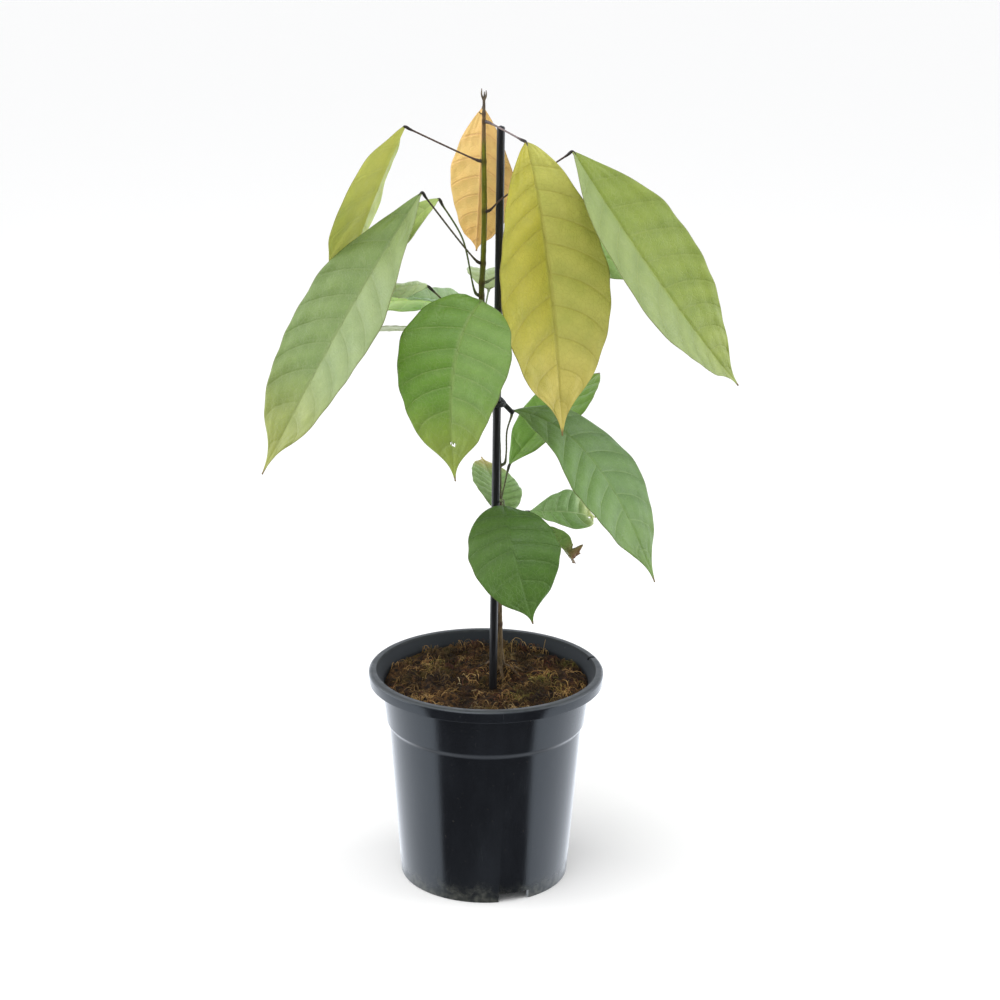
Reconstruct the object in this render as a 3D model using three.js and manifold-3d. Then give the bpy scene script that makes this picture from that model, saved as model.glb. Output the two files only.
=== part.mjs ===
// A young cacao tree in its nursery pot: pot, soil, woody stem, stake, tie and nineteen leaves.
// Millimetres, +Z up. The origin is where the pot's axis meets the surface that the pot stands on.
import * as THREE from 'three';
import { mergeVertices } from 'three/addons/utils/BufferGeometryUtils.js';
import Module from 'manifold-3d';

const wasm = await Module();
wasm.setup();

// ---------------------------------------------------------------- driving dimensions

const CLEARANCE = 0.35;

const POT_HEIGHT = 157.3;
const RIM_RADIUS = 85;
const RIM_WIDTH = 6;
const RIM_DEPTH = 8.6;
const WALL = 1.4;
const LIP_SLOPE = 4;
const LIP_EDGE = 0.9;
const COLLAR_TOP_RADIUS = 75.6;
const COLLAR_FOOT_RADIUS = 72;
const COLLAR_FOOT_HEIGHT = 119;
const STEP_HEIGHT = 3;
const BODY_TOP_RADIUS = 69.8;
const FOOT_RADIUS = 61.2;
const FOOT_BEVEL = 1.4;
const FOOT_RING_WIDTH = 3.6;
const CHANNEL_HEIGHT = 7;
const FLOOR_THICKNESS = 2;
const PAD_RADIUS = 38;
const PAD_DRAFT = 1;
const POT_SEGMENTS = 44;
const NOTCHES = 3;
const NOTCH_WIDTH = 23;
const NOTCH_HEIGHT = 6.6;
const NOTCH_REACH = 14;
const NOTCH_TURN = 291;
const DRAIN_HOLES = 12;
const DRAIN_HOLE_RADIUS = 4;
const LABEL_SLOT_LENGTH = 10;
const LABEL_SLOT_WIDTH = 2.6;
const LABEL_SLOT_DEPTH = 2;
const LABEL_SLOT_TURN = 17;

const SOIL_EDGE_HEIGHT = 147.5;
const SOIL_CROWN_RISE = 5;
const SOIL_LUMP = 1.6;
// The soil heaped round the stem, and hollowed where the stake was pushed in.
const SOIL_MOUNDS = [
  { x: 9.6, y: 6, rise: 4, spread: 12 },
  { x: 8, y: -21, rise: -4.5, spread: 11 },
];
const HOLE_SPARE = 0.5;
const HOLE_DEPTH_SPARE = 2;
const SOIL_RINGS = 8;
const SOIL_SEGMENTS = 30;

const STEM_POINTS = [
  [9.8, 4.5, 112],
  [9.6, 4.3, 150],
  [9.4, 4, 168],
  [8.4, 3.6, 205],
  [7.4, 3.6, 280],
  [6.2, 3.6, 328],
  [3.6, 3.6, 357],
  [-2, 3.6, 395],
  [-6, 3.4, 431],
  [-5.2, 3, 454],
  [-4.6, 3, 490],
  [-5.3, 3, 524],
  [-5.7, 3, 566],
];
const STEM_FOOT_RADIUS = 2.9;
const STEM_TOP_RADIUS = 1.6;
const CROWN_RADIUS = 4.6;
const CROWN_HEIGHT = 157;
const CROWN_SPREAD = 9;
const ROOT_TAPER = 0.5;
const BUD_HEIGHT = 7;
const BUD_RADIUS = 0.9;
const BUD_TIP_RADIUS = 0.35;
// Each prong of the dry bud: how far its tip leans along X and Y, and its share of the bud's height.
const BUD_PRONGS = [[-1.6, 0.4, 1], [1.4, -0.6, 0.85], [0.2, 1.1, 0.7]];
const STEM_STEPS = 34;
const STEM_SIDES = 7;
const BUD_SIDES = 5;

const STAKE_RADIUS = 2.8;
const STAKE_FOOT = [4.8, -25, 62];
const STAKE_TOP = [6, 2.6, 548];
const STAKE_SIDES = 12;

const TIE_HEIGHT = 357;
const TIE_RADIUS = 1.6;
const TIE_SIDES = 7;
// Room left between the tie and what it holds, so that its flat-sided loop stays clear of them.
const TIE_SPARE_AT_STAKE = 0.65;
const TIE_SPARE_AT_STEM = 1.05;
// Share of the loop that each of its two arcs runs along; a little over half, so that the arcs join.
const HALF_LOOP = 0.52;
const TIE_TAIL_END = [16.4, -3.6, 349.6];

const BLADE_THICKNESS = 0.8;
const MIDRIB_DEPTH = 1;
const MARGIN_HALF_WIDTH = 0.45;
const WIDE_COLUMNS = [-1, -0.56, -0.1, 0, 0.1, 0.56, 1];
const NARROW_COLUMNS = [-1, -0.55, 0, 0.55, 1];
const NARROW_LEAF = 60;
const VEIN_LEAN = 0.11;
const VEIN_RELIEF = 0.9;
const DRIP_TIP_START = 0.84;
const DRIP_TIP_END = 0.985;
const DRIP_TIP_NARROWING = 0.72;
const PETIOLE_RADIUS = 1;
const PULVINUS_RADIUS = 1.7;
const PETIOLE_SIDES = 6;
const PETIOLE_STEPS = 9;

const GREEN = 0x739f4d;
const DEEP_GREEN = 0x567f38;
const FRESH_GREEN = 0x8ab05c;
const PALE_GREEN = 0xa4bb84;
const OLIVE = 0xb4b24f;
const PEACH = 0xe2bd6c;

// Each leaf leaves the stem at height `node`; `via` are points that its petiole passes on the way to
// `base`, where the blade starts. The blade runs to `tip`, and its upper surface looks along `faces`.
// arch and sweep bow the midrib, up and sideways, most at `peak`; fold and curl (degrees) turn each half
// up from the midrib and on towards the margin; widest and blunt shape the outline.
const LEAVES = {
  leaf_01: {
    node: 524, base: [-60, 10, 546], tip: [-107, 25, 419], faces: [-0.86, 0.37, 0.36], width: 68,
    sweep: -8, peak: 0.38, fold: 8, curl: 9, widest: 0.52, blunt: 0.85, veins: 8, wave: 0.8,
    colour: OLIVE,
  },
  leaf_02: {
    node: 454, base: [-47, -18, 506], tip: [-153, -66, 321], faces: [-0.59, -0.63, 0.5], width: 82,
    arch: -2, sweep: 6, peak: 0.44, fold: 6, curl: 7, widest: 0.53, blunt: 0.95, veins: 10, wave: 1.2,
    colour: PALE_GREEN,
  },
  leaf_03: {
    node: 431, via: [[-19.5, 2.5, 471]], base: [-36, 4, 498], tip: [-90, 4, 436],
    faces: [-0.6, -0.6, 0.5], width: 28, arch: 4, peak: 0.4, fold: 10, curl: 8, widest: 0.5,
    blunt: 0.8, veins: 6, wave: 0.6, colour: FRESH_GREEN,
  },
  leaf_04: {
    node: 556, base: [-6, 22, 558], tip: [-10, 30, 457], faces: [0.61, 0.79, 0.03], width: 55, arch: 4,
    sweep: -2, peak: 0.68, fold: 1, curl: 2, widest: 0.45, blunt: 1, veins: 8, wave: 0.6, colour: PEACH,
  },
  leaf_05: {
    node: 551, base: [23, -16, 540], tip: [51, -24, 339], faces: [0.5, -0.86, 0.04], width: 87, arch: 4,
    sweep: -3, peak: 0.34, fold: 6, curl: 6, widest: 0.58, blunt: 0.55, veins: 10, wave: 1,
    colour: OLIVE,
  },
  leaf_06: {
    node: 490, via: [[7, -6, 500]], base: [55, 0, 532], tip: [176, 20, 365], faces: [0.66, -0.64, 0.4],
    width: 85, arch: 9, sweep: 14, peak: 0.53, fold: 10, curl: 11, widest: 0.43, blunt: 1.1, veins: 10,
    wave: 1.2, colour: FRESH_GREEN,
  },
  leaf_07: {
    node: 440, base: [40, 26, 463], tip: [116, 34, 436], faces: [0.2, -0.6, 0.75], width: 42, arch: 6,
    peak: 0.4, fold: 8, curl: 8, widest: 0.48, blunt: 0.7, veins: 6, wave: 0.6, colour: GREEN,
  },
  leaf_08: {
    node: 424, base: [-6, -42, 437], tip: [-22, -84, 323], faces: [-0.4, -0.8, 0.4], width: 84,
    arch: 14, sweep: 6, peak: 0.3, fold: 4, curl: 2, widest: 0.44, blunt: 0.5, veins: 8, wave: 1,
    colour: GREEN,
  },
  leaf_09: {
    node: 424, base: [-15, 12, 423], tip: [-64, 18, 426], faces: [0, -0.05, 1], width: 40, arch: 1,
    peak: 0.4, fold: 8, curl: 6, widest: 0.5, blunt: 0.75, veins: 6, wave: 0.6, colour: GREEN,
  },
  leaf_10: {
    node: 402, via: [[-30, -6, 427]], base: [-43, -8, 440], tip: [-80, 0, 434], faces: [0, -0.2, 0.98],
    width: 28, arch: 1, peak: 0.35, fold: -6, curl: -8, widest: 0.5, blunt: 0.7, veins: 5, wave: 0.5,
    colour: FRESH_GREEN,
  },
  leaf_11: {
    node: 392, base: [-43, 22, 402], tip: [-92, 20, 401], faces: [0, 0.29, 0.96], width: 32, arch: 1,
    peak: 0.4, fold: 3, curl: 2, widest: 0.5, blunt: 0.7, veins: 5, wave: 0.3, colour: PALE_GREEN,
  },
  leaf_12: {
    node: 416, base: [-1, 60, 424], tip: [-4, 110, 426], faces: [0, -0.1, 0.98], width: 30, arch: 7,
    peak: 0.4, fold: 6, curl: 4, widest: 0.45, blunt: 0.6, veins: 5, wave: 0.5, colour: PALE_GREEN,
  },
  leaf_13: {
    node: 281, base: [15, 24, 304], tip: [81, 88, 356], faces: [-0.5, -0.5, 0.7], width: 52, arch: 6,
    sweep: 3, peak: 0.44, fold: 6, curl: 6, widest: 0.54, blunt: 0.8, veins: 7, wave: 0.8,
    colour: GREEN,
  },
  leaf_14: {
    node: 309, via: [[12.5, 3, 318], [12.8, 4, 334]], base: [17, 8, 348], tip: [118, -28, 234],
    faces: [0.59, -0.45, 0.67], width: 76, arch: 16, sweep: -13, peak: 0.27, fold: 0, curl: 2,
    widest: 0.6, blunt: 0.74, veins: 9, wave: 1.2, colour: GREEN,
  },
  leaf_15: {
    node: 262, base: [12, 15, 270], tip: [-5, 66, 297], faces: [0.45, -0.4, 0.8], width: 40, arch: 3,
    sweep: -2, peak: 0.4, fold: 8, curl: 6, widest: 0.44, blunt: 0.55, veins: 6, wave: 0.5, colour: GREEN,
  },
  leaf_16: {
    node: 284, via: [[10.8, -2.5, 285]], base: [11, -22, 287], tip: [32, -70, 217],
    faces: [0.1, -0.8, 0.58], width: 64, arch: 17, sweep: 4, peak: 0.34, fold: 3, curl: 2, widest: 0.53,
    blunt: 0.57, veins: 7, wave: 0.8, colour: DEEP_GREEN,
  },
  leaf_17: {
    node: 272, base: [30, 20, 270], tip: [78, 30, 263], faces: [0.1, -0.5, 0.86], width: 38, arch: 6,
    sweep: 3, peak: 0.5, fold: 8, curl: 6, widest: 0.58, blunt: 0.75, veins: 6, wave: 0.8, colour: GREEN,
  },
  leaf_18: {
    node: 258, base: [33, 2, 262], tip: [61, -4, 242], faces: [0.5, -0.5, 0.7], width: 19, arch: 4,
    peak: 0.45, fold: 20, curl: 40, widest: 0.55, blunt: 0.7, veins: 4, wave: 0.8, colour: FRESH_GREEN,
  },
  leaf_19: {
    node: 400, base: [-35, 36, 417], tip: [-93, 34, 415], faces: [0, -0.25, 0.96], width: 44, arch: 4,
    peak: 0.4, fold: 6, curl: 4, widest: 0.5, blunt: 0.65, veins: 5, wave: 0.6, colour: FRESH_GREEN,
  },
};

// ---------------------------------------------------------------- shared helpers

const vec = (p) => new THREE.Vector3(...p);
const radians = THREE.MathUtils.degToRad;
const lerp = THREE.MathUtils.lerp;
const smoothstep = THREE.MathUtils.smoothstep;

function material(colour, roughness = 0.5, metalness = 0) {
  return new THREE.MeshStandardMaterial({ color: colour, roughness, metalness, side: THREE.DoubleSide });
}

function solid(geometry) {
  const bare = geometry.clone();
  bare.deleteAttribute('normal');
  bare.deleteAttribute('uv');
  const merged = mergeVertices(bare, 1e-4);
  const vertProperties = new Float32Array(merged.attributes.position.array);
  const triVerts = new Uint32Array(merged.index.array);
  return new wasm.Manifold(new wasm.Mesh({ numProp: 3, vertProperties, triVerts }));
}

function geometryOf(body) {
  const mesh = body.getMesh();
  const geometry = new THREE.BufferGeometry();
  geometry.setAttribute('position', new THREE.BufferAttribute(mesh.vertProperties, 3));
  geometry.setIndex(new THREE.BufferAttribute(mesh.triVerts, 1));
  geometry.computeVertexNormals();
  return geometry;
}

// A closed geometry from its points and triangles, turned so that its faces point out.
function closedGeometry(points, triangles) {
  const geometry = new THREE.BufferGeometry().setFromPoints(points);
  geometry.setIndex(triangles);
  geometry.computeVertexNormals();
  return geometry;
}

// A round rod along a curve, with a radius that changes along it and a flat cap at each end.
function rod(curve, radiusAt, sides, steps) {
  const frames = curve.computeFrenetFrames(steps, false);
  const points = [];
  const triangles = [];
  for (let i = 0; i <= steps; i += 1) {
    const centre = curve.getPointAt(i / steps);
    for (let j = 0; j < sides; j += 1) {
      const turn = (j / sides) * 2 * Math.PI;
      const spoke = frames.normals[i].clone().multiplyScalar(Math.cos(turn));
      spoke.addScaledVector(frames.binormals[i], Math.sin(turn));
      points.push(centre.clone().addScaledVector(spoke, radiusAt(i / steps)));
    }
  }
  for (let i = 0; i < steps; i += 1) {
    for (let j = 0; j < sides; j += 1) {
      const here = i * sides + j;
      const beside = i * sides + ((j + 1) % sides);
      triangles.push(here, beside, beside + sides, here, beside + sides, here + sides);
    }
  }
  for (let j = 1; j < sides - 1; j += 1) {
    const last = steps * sides;
    triangles.push(0, j + 1, j, last, last + j, last + j + 1);
  }
  return closedGeometry(points, triangles);
}

function cylinderAlong(from, to, radius, sides) {
  const axis = new THREE.Vector3().subVectors(to, from);
  const geometry = new THREE.CylinderGeometry(radius, radius, axis.length(), sides);
  const turn = new THREE.Quaternion().setFromUnitVectors(new THREE.Vector3(0, 1, 0), axis.normalize());
  geometry.applyQuaternion(turn);
  const middle = new THREE.Vector3().addVectors(from, to).multiplyScalar(0.5);
  return geometry.translate(middle.x, middle.y, middle.z);
}

// ---------------------------------------------------------------- pot

const potWallRadius = (z) => lerp(FOOT_RADIUS, BODY_TOP_RADIUS, z / (COLLAR_FOOT_HEIGHT - STEP_HEIGHT));
const potCollarRadius = (z) => {
  const up = (z - COLLAR_FOOT_HEIGHT) / (POT_HEIGHT - RIM_DEPTH - COLLAR_FOOT_HEIGHT);
  return lerp(COLLAR_FOOT_RADIUS, COLLAR_TOP_RADIUS, up);
};

function potProfile() {
  const floorTop = CHANNEL_HEIGHT + FLOOR_THICKNESS;
  const rimFoot = POT_HEIGHT - RIM_DEPTH;
  const stepFoot = COLLAR_FOOT_HEIGHT - STEP_HEIGHT;
  const ringInner = FOOT_RADIUS - FOOT_RING_WIDTH;
  const rimInner = RIM_RADIUS - RIM_WIDTH;
  return [
    [0, 0],
    [PAD_RADIUS, 0],
    [PAD_RADIUS + PAD_DRAFT, CHANNEL_HEIGHT],
    [ringInner, CHANNEL_HEIGHT],
    [ringInner, 0],
    [FOOT_RADIUS - FOOT_BEVEL, 0],
    [potWallRadius(FOOT_BEVEL), FOOT_BEVEL],
    [BODY_TOP_RADIUS, stepFoot],
    [COLLAR_FOOT_RADIUS, COLLAR_FOOT_HEIGHT],
    [COLLAR_TOP_RADIUS, rimFoot],
    [COLLAR_TOP_RADIUS + LIP_SLOPE, POT_HEIGHT - WALL],
    [RIM_RADIUS - WALL, POT_HEIGHT - WALL],
    [RIM_RADIUS - WALL, rimFoot],
    [RIM_RADIUS - LIP_EDGE / 2, rimFoot],
    [RIM_RADIUS, POT_HEIGHT - LIP_EDGE],
    [RIM_RADIUS - LIP_EDGE, POT_HEIGHT],
    [rimInner, POT_HEIGHT],
    [COLLAR_TOP_RADIUS - WALL, rimFoot],
    [COLLAR_FOOT_RADIUS - WALL, COLLAR_FOOT_HEIGHT],
    [BODY_TOP_RADIUS - WALL, stepFoot],
    [potWallRadius(floorTop) - WALL, floorTop],
    [PAD_RADIUS - PAD_DRAFT, floorTop],
    [PAD_RADIUS - 2 * PAD_DRAFT, FLOOR_THICKNESS],
    [0, FLOOR_THICKNESS],
  ];
}

function lathe(profile, segments) {
  const outline = profile.map(([radius, height]) => new THREE.Vector2(radius, height));
  const geometry = new THREE.LatheGeometry(outline, segments);
  return geometry.rotateX(Math.PI / 2);
}

function potGeometry() {
  let body = solid(lathe(potProfile(), POT_SEGMENTS));
  for (let i = 0; i < NOTCHES; i += 1) {
    const turn = radians(NOTCH_TURN + (360 / NOTCHES) * i);
    const notch = new THREE.BoxGeometry(NOTCH_REACH, NOTCH_WIDTH, 2 * NOTCH_HEIGHT);
    notch.translate(FOOT_RADIUS, 0, 0).rotateZ(turn);
    body = body.subtract(solid(notch));
  }
  const holeRing = (PAD_RADIUS + FOOT_RADIUS - FOOT_RING_WIDTH) / 2;
  for (let i = 0; i < DRAIN_HOLES; i += 1) {
    const hole = new THREE.CylinderGeometry(DRAIN_HOLE_RADIUS, DRAIN_HOLE_RADIUS, 4 * FLOOR_THICKNESS, 8);
    hole.rotateX(Math.PI / 2).translate(holeRing, 0, CHANNEL_HEIGHT + FLOOR_THICKNESS / 2);
    hole.rotateZ(radians(NOTCH_TURN + (360 / DRAIN_HOLES) * i));
    body = body.subtract(solid(hole));
  }
  const slot = new THREE.BoxGeometry(LABEL_SLOT_LENGTH, LABEL_SLOT_WIDTH, 2 * LABEL_SLOT_DEPTH);
  slot.translate(RIM_RADIUS - RIM_WIDTH / 2 - WALL, 0, POT_HEIGHT).rotateZ(radians(LABEL_SLOT_TURN));
  body = body.subtract(solid(slot));
  return geometryOf(body);
}

// ---------------------------------------------------------------- soil, with the holes for stem and stake

function soilHeight(radius, turn) {
  const inner = potCollarRadius(SOIL_EDGE_HEIGHT) - WALL;
  const crown = SOIL_CROWN_RISE * (1 - (radius / inner) ** 2);
  const lumps = Math.sin(radius * 0.31 + 3 * turn) * Math.cos(radius * 0.17 - 5 * turn);
  const fine = Math.sin(radius * 0.7 + 7 * turn) * Math.sin(4 * turn + 1.3);
  let height = SOIL_EDGE_HEIGHT + crown;
  height += SOIL_LUMP * Math.min(1, radius / 12) * (0.7 * lumps + 0.5 * fine);
  for (const { x, y, rise, spread } of SOIL_MOUNDS) {
    const away = Math.hypot(radius * Math.cos(turn) - x, radius * Math.sin(turn) - y);
    height += rise * Math.exp(-((away / spread) ** 2));
  }
  return height;
}

function soilGeometry() {
  const floorTop = CHANNEL_HEIGHT + FLOOR_THICKNESS;
  const inside = WALL + CLEARANCE;
  const stepFoot = COLLAR_FOOT_HEIGHT - STEP_HEIGHT;
  const wall = [
    [potCollarRadius(SOIL_EDGE_HEIGHT) - inside, SOIL_EDGE_HEIGHT],
    [COLLAR_FOOT_RADIUS - inside, COLLAR_FOOT_HEIGHT + CLEARANCE],
    [BODY_TOP_RADIUS - inside, stepFoot],
    [potWallRadius(floorTop) - inside, floorTop + CLEARANCE],
    [PAD_RADIUS - PAD_DRAFT - CLEARANCE, floorTop + CLEARANCE],
    [PAD_RADIUS - 2 * PAD_DRAFT - CLEARANCE, FLOOR_THICKNESS + CLEARANCE],
  ];
  const rings = [];
  for (let i = 1; i <= SOIL_RINGS; i += 1) {
    const radius = (wall[0][0] * i) / SOIL_RINGS;
    rings.push((turn) => [radius, soilHeight(radius, turn)]);
  }
  for (const corner of wall.slice(1)) {
    rings.push(() => corner);
  }
  const points = [new THREE.Vector3(0, 0, soilHeight(0, 0))];
  const triangles = [];
  for (const ring of rings) {
    for (let j = 0; j < SOIL_SEGMENTS; j += 1) {
      const turn = (j / SOIL_SEGMENTS) * 2 * Math.PI;
      const [radius, height] = ring(turn);
      points.push(new THREE.Vector3(radius * Math.cos(turn), radius * Math.sin(turn), height));
    }
  }
  points.push(new THREE.Vector3(0, 0, FLOOR_THICKNESS + CLEARANCE));
  const lastRing = 1 + (rings.length - 1) * SOIL_SEGMENTS;
  for (let j = 0; j < SOIL_SEGMENTS; j += 1) {
    const next = (j + 1) % SOIL_SEGMENTS;
    triangles.push(0, 1 + j, 1 + next);
    for (let i = 0; i < rings.length - 1; i += 1) {
      const row = 1 + i * SOIL_SEGMENTS;
      const below = row + SOIL_SEGMENTS;
      triangles.push(row + j, below + j, below + next, row + j, below + next, row + next);
    }
    triangles.push(lastRing + j, points.length - 1, lastRing + next);
  }
  let body = solid(closedGeometry(points, triangles));
  const stakeFoot = stakeAt(STAKE_FOOT[2] - HOLE_DEPTH_SPARE);
  const stakeHole = STAKE_RADIUS + HOLE_SPARE;
  const stakeExit = stakeAt(POT_HEIGHT + RIM_DEPTH);
  body = body.subtract(solid(cylinderAlong(stakeFoot, stakeExit, stakeHole, STAKE_SIDES)));
  const stemHole = CROWN_RADIUS + HOLE_SPARE;
  const stemFoot = vec(STEM_POINTS[0]).setZ(STEM_POINTS[0][2] - HOLE_DEPTH_SPARE);
  body = body.subtract(solid(cylinderAlong(stemFoot, vec(STEM_POINTS[2]), stemHole, STEM_SIDES)));
  return geometryOf(body);
}

// ---------------------------------------------------------------- stem, stake and tie

const stemCurve = new THREE.CatmullRomCurve3(STEM_POINTS.map(vec));

function stemRadius(along) {
  const height = stemCurve.getPointAt(along).z;
  const taper = lerp(STEM_FOOT_RADIUS, STEM_TOP_RADIUS, along);
  const swell = Math.exp(-(((height - CROWN_HEIGHT) / CROWN_SPREAD) ** 2));
  const flare = (CROWN_RADIUS - STEM_FOOT_RADIUS) * swell;
  const buried = 1 - ROOT_TAPER * smoothstep(CROWN_HEIGHT - height, 0, CROWN_HEIGHT - STEM_POINTS[0][2]);
  return (taper + flare) * buried;
}

// How far along the stem, from 0 to 1, a height is reached.
function stemAlong(height) {
  let low = 0;
  let high = 1;
  for (let i = 0; i < 30; i += 1) {
    const middle = (low + high) / 2;
    if (stemCurve.getPointAt(middle).z < height) {
      low = middle;
    } else {
      high = middle;
    }
  }
  return low;
}

function stemGeometry() {
  let body = solid(rod(stemCurve, stemRadius, STEM_SIDES, STEM_STEPS));
  const top = stemCurve.getPointAt(1);
  const from = top.clone().setZ(top.z - BUD_RADIUS);
  for (const [x, y, reach] of BUD_PRONGS) {
    const to = new THREE.Vector3(top.x + x, top.y + y, top.z + BUD_HEIGHT * reach);
    const prong = new THREE.LineCurve3(from, to);
    const twig = rod(prong, (along) => lerp(BUD_RADIUS, BUD_TIP_RADIUS, along), BUD_SIDES, 3);
    body = body.add(solid(twig));
  }
  return geometryOf(body);
}

function stakeAt(height) {
  const along = (height - STAKE_FOOT[2]) / (STAKE_TOP[2] - STAKE_FOOT[2]);
  return new THREE.Vector3().lerpVectors(vec(STAKE_FOOT), vec(STAKE_TOP), along);
}

function stakeGeometry() {
  return cylinderAlong(vec(STAKE_FOOT), vec(STAKE_TOP), STAKE_RADIUS, STAKE_SIDES);
}

// A soft tube looped once round stem and stake, with its cut tail standing out to the right.
function tieGeometry() {
  const stake = stakeAt(TIE_HEIGHT);
  const stem = stemCurve.getPointAt(stemAlong(TIE_HEIGHT));
  const stakeReach = STAKE_RADIUS + TIE_RADIUS + TIE_SPARE_AT_STAKE;
  const stemReach = stemRadius(stemAlong(TIE_HEIGHT)) + TIE_RADIUS + TIE_SPARE_AT_STEM;
  const loop = [];
  const eighth = Math.PI / 4;
  for (let i = -2; i <= 2; i += 1) {
    const turn = i * eighth;
    loop.push([stem.x + stemReach * Math.sin(turn), stem.y + stemReach * Math.cos(turn), TIE_HEIGHT]);
  }
  for (let i = -2; i <= 2; i += 1) {
    const turn = i * eighth;
    loop.push([stake.x - stakeReach * Math.sin(turn), stake.y - stakeReach * Math.cos(turn), TIE_HEIGHT]);
  }
  const path = new THREE.CatmullRomCurve3(loop.map(vec), true);
  const arcs = [0, 0.5].map((start) => {
    const arc = new THREE.Curve();
    arc.getPoint = (t, target = new THREE.Vector3()) => path.getPoint((start + t * HALF_LOOP) % 1, target);
    return solid(rod(arc, () => TIE_RADIUS, TIE_SIDES, 9));
  });
  const knot = new THREE.Vector3(stake.x + stakeReach, stake.y, TIE_HEIGHT);
  const tail = new THREE.LineCurve3(knot, vec(TIE_TAIL_END));
  const body = arcs[0].add(arcs[1]).add(solid(rod(tail, () => TIE_RADIUS, TIE_SIDES, 1)));
  return geometryOf(body);
}

// ---------------------------------------------------------------- leaves

// Half-width of the blade along it, from 0 to 1: round at the base, drawn out to a narrow drip tip.
function outline(t, widest, blunt) {
  const swell = Math.sin(Math.PI * t ** (Math.log(0.5) / Math.log(widest)));
  const narrowed = 1 - DRIP_TIP_NARROWING * smoothstep(t, DRIP_TIP_START, DRIP_TIP_END);
  return Math.max(0, swell) ** lerp(blunt, 0.9, t) * narrowed;
}

function bladeSurface(leaf) {
  const { arch = 0, sweep = 0, peak, fold, curl, width, veins, wave, widest, blunt } = leaf;
  const base = vec(leaf.base);
  const tip = vec(leaf.tip);
  const chord = new THREE.Vector3().subVectors(tip, base);
  const length = chord.length();
  chord.normalize();
  const faces = vec(leaf.faces).normalize();
  const up = faces.clone().addScaledVector(chord, -faces.dot(chord)).normalize();
  const side = new THREE.Vector3().crossVectors(chord, up);
  const bend = base.clone().addScaledVector(chord, peak * length);
  bend.addScaledVector(up, 2 * arch).addScaledVector(side, 2 * sweep);
  const midrib = new THREE.QuadraticBezierCurve3(base, bend, tip);
  const foldAngle = radians(fold);
  const curlAngle = radians(curl || 0.01);

  // The point at `t` along the midrib and `across` from it, -1 to 1, on the middle of the blade.
  function pointAt(row, across) {
    const t0 = row / (2 * veins);
    const out = Math.abs(across);
    const t = t0 + VEIN_LEAN * out * 4 * t0 * (1 - t0);
    const tangent = midrib.getTangent(t);
    const normal = faces.clone().addScaledVector(tangent, -faces.dot(tangent)).normalize();
    const lateral = new THREE.Vector3().crossVectors(tangent, normal);
    const half = Math.max(MARGIN_HALF_WIDTH, (width / 2) * outline(t, widest, blunt));
    const turned = foldAngle + curlAngle * out;
    const reach = (half * (Math.sin(turned) - Math.sin(foldAngle))) / curlAngle;
    let lift = (half * (Math.cos(foldAngle) - Math.cos(turned))) / curlAngle;
    const crest = row % 2 === 1 ? VEIN_RELIEF : 0;
    const room = Math.min(1, half / 12);
    lift += room * crest * 4 * out * (1 - out);
    lift += room * wave * out * out * Math.sin(5 * Math.PI * t + 2.1 * Math.sign(across));
    const point = midrib.getPoint(t).addScaledVector(lateral, Math.sign(across) * reach);
    return { point: point.addScaledVector(normal, lift), normal, t };
  }
  return { pointAt, midrib, rows: 2 * veins };
}

function bladeGeometry(leaf) {
  const { pointAt, rows } = bladeSurface(leaf);
  const across = leaf.width > NARROW_LEAF ? WIDE_COLUMNS : NARROW_COLUMNS;
  const columns = across.length;
  const middle = [];
  for (let i = 0; i <= rows; i += 1) {
    middle.push(across.map((out) => pointAt(i, out)));
  }
  const { clamp } = THREE.MathUtils;
  const at = (i, j) => middle[clamp(i, 0, rows)][clamp(j, 0, columns - 1)].point;
  const upper = [];
  const lower = [];
  for (let i = 0; i <= rows; i += 1) {
    for (let j = 0; j < columns; j += 1) {
      const lengthways = new THREE.Vector3().subVectors(at(i + 1, j), at(i - 1, j));
      const crossways = new THREE.Vector3().subVectors(at(i, j + 1), at(i, j - 1));
      const normal = lengthways.cross(crossways).normalize();
      if (normal.dot(middle[i][j].normal) < 0) {
        normal.negate();
      }
      const rib = across[j] === 0 ? MIDRIB_DEPTH * (1 - 0.8 * middle[i][j].t) : 0;
      upper.push(at(i, j).clone().addScaledVector(normal, BLADE_THICKNESS / 2));
      lower.push(at(i, j).clone().addScaledVector(normal, -BLADE_THICKNESS / 2 - rib));
    }
  }
  const under = upper.length;
  const triangles = [];
  const quad = (a, b, c, d) => triangles.push(a, b, c, a, c, d);
  for (let i = 0; i < rows; i += 1) {
    for (let j = 0; j < columns - 1; j += 1) {
      const corner = i * columns + j;
      const [a, b, c, d] = [corner, corner + 1, corner + columns + 1, corner + columns];
      quad(a, b, c, d);
      triangles.push(under + a, under + c, under + b, under + a, under + d, under + c);
    }
    const left = i * columns;
    const right = left + columns - 1;
    quad(left, left + columns, under + left + columns, under + left);
    quad(right + columns, right, under + right, under + right + columns);
  }
  for (let j = 0; j < columns - 1; j += 1) {
    const far = rows * columns + j;
    quad(j + 1, j, under + j, under + j + 1);
    quad(far, far + 1, under + far + 1, under + far);
  }
  return closedGeometry([...upper, ...lower], triangles);
}

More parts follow.
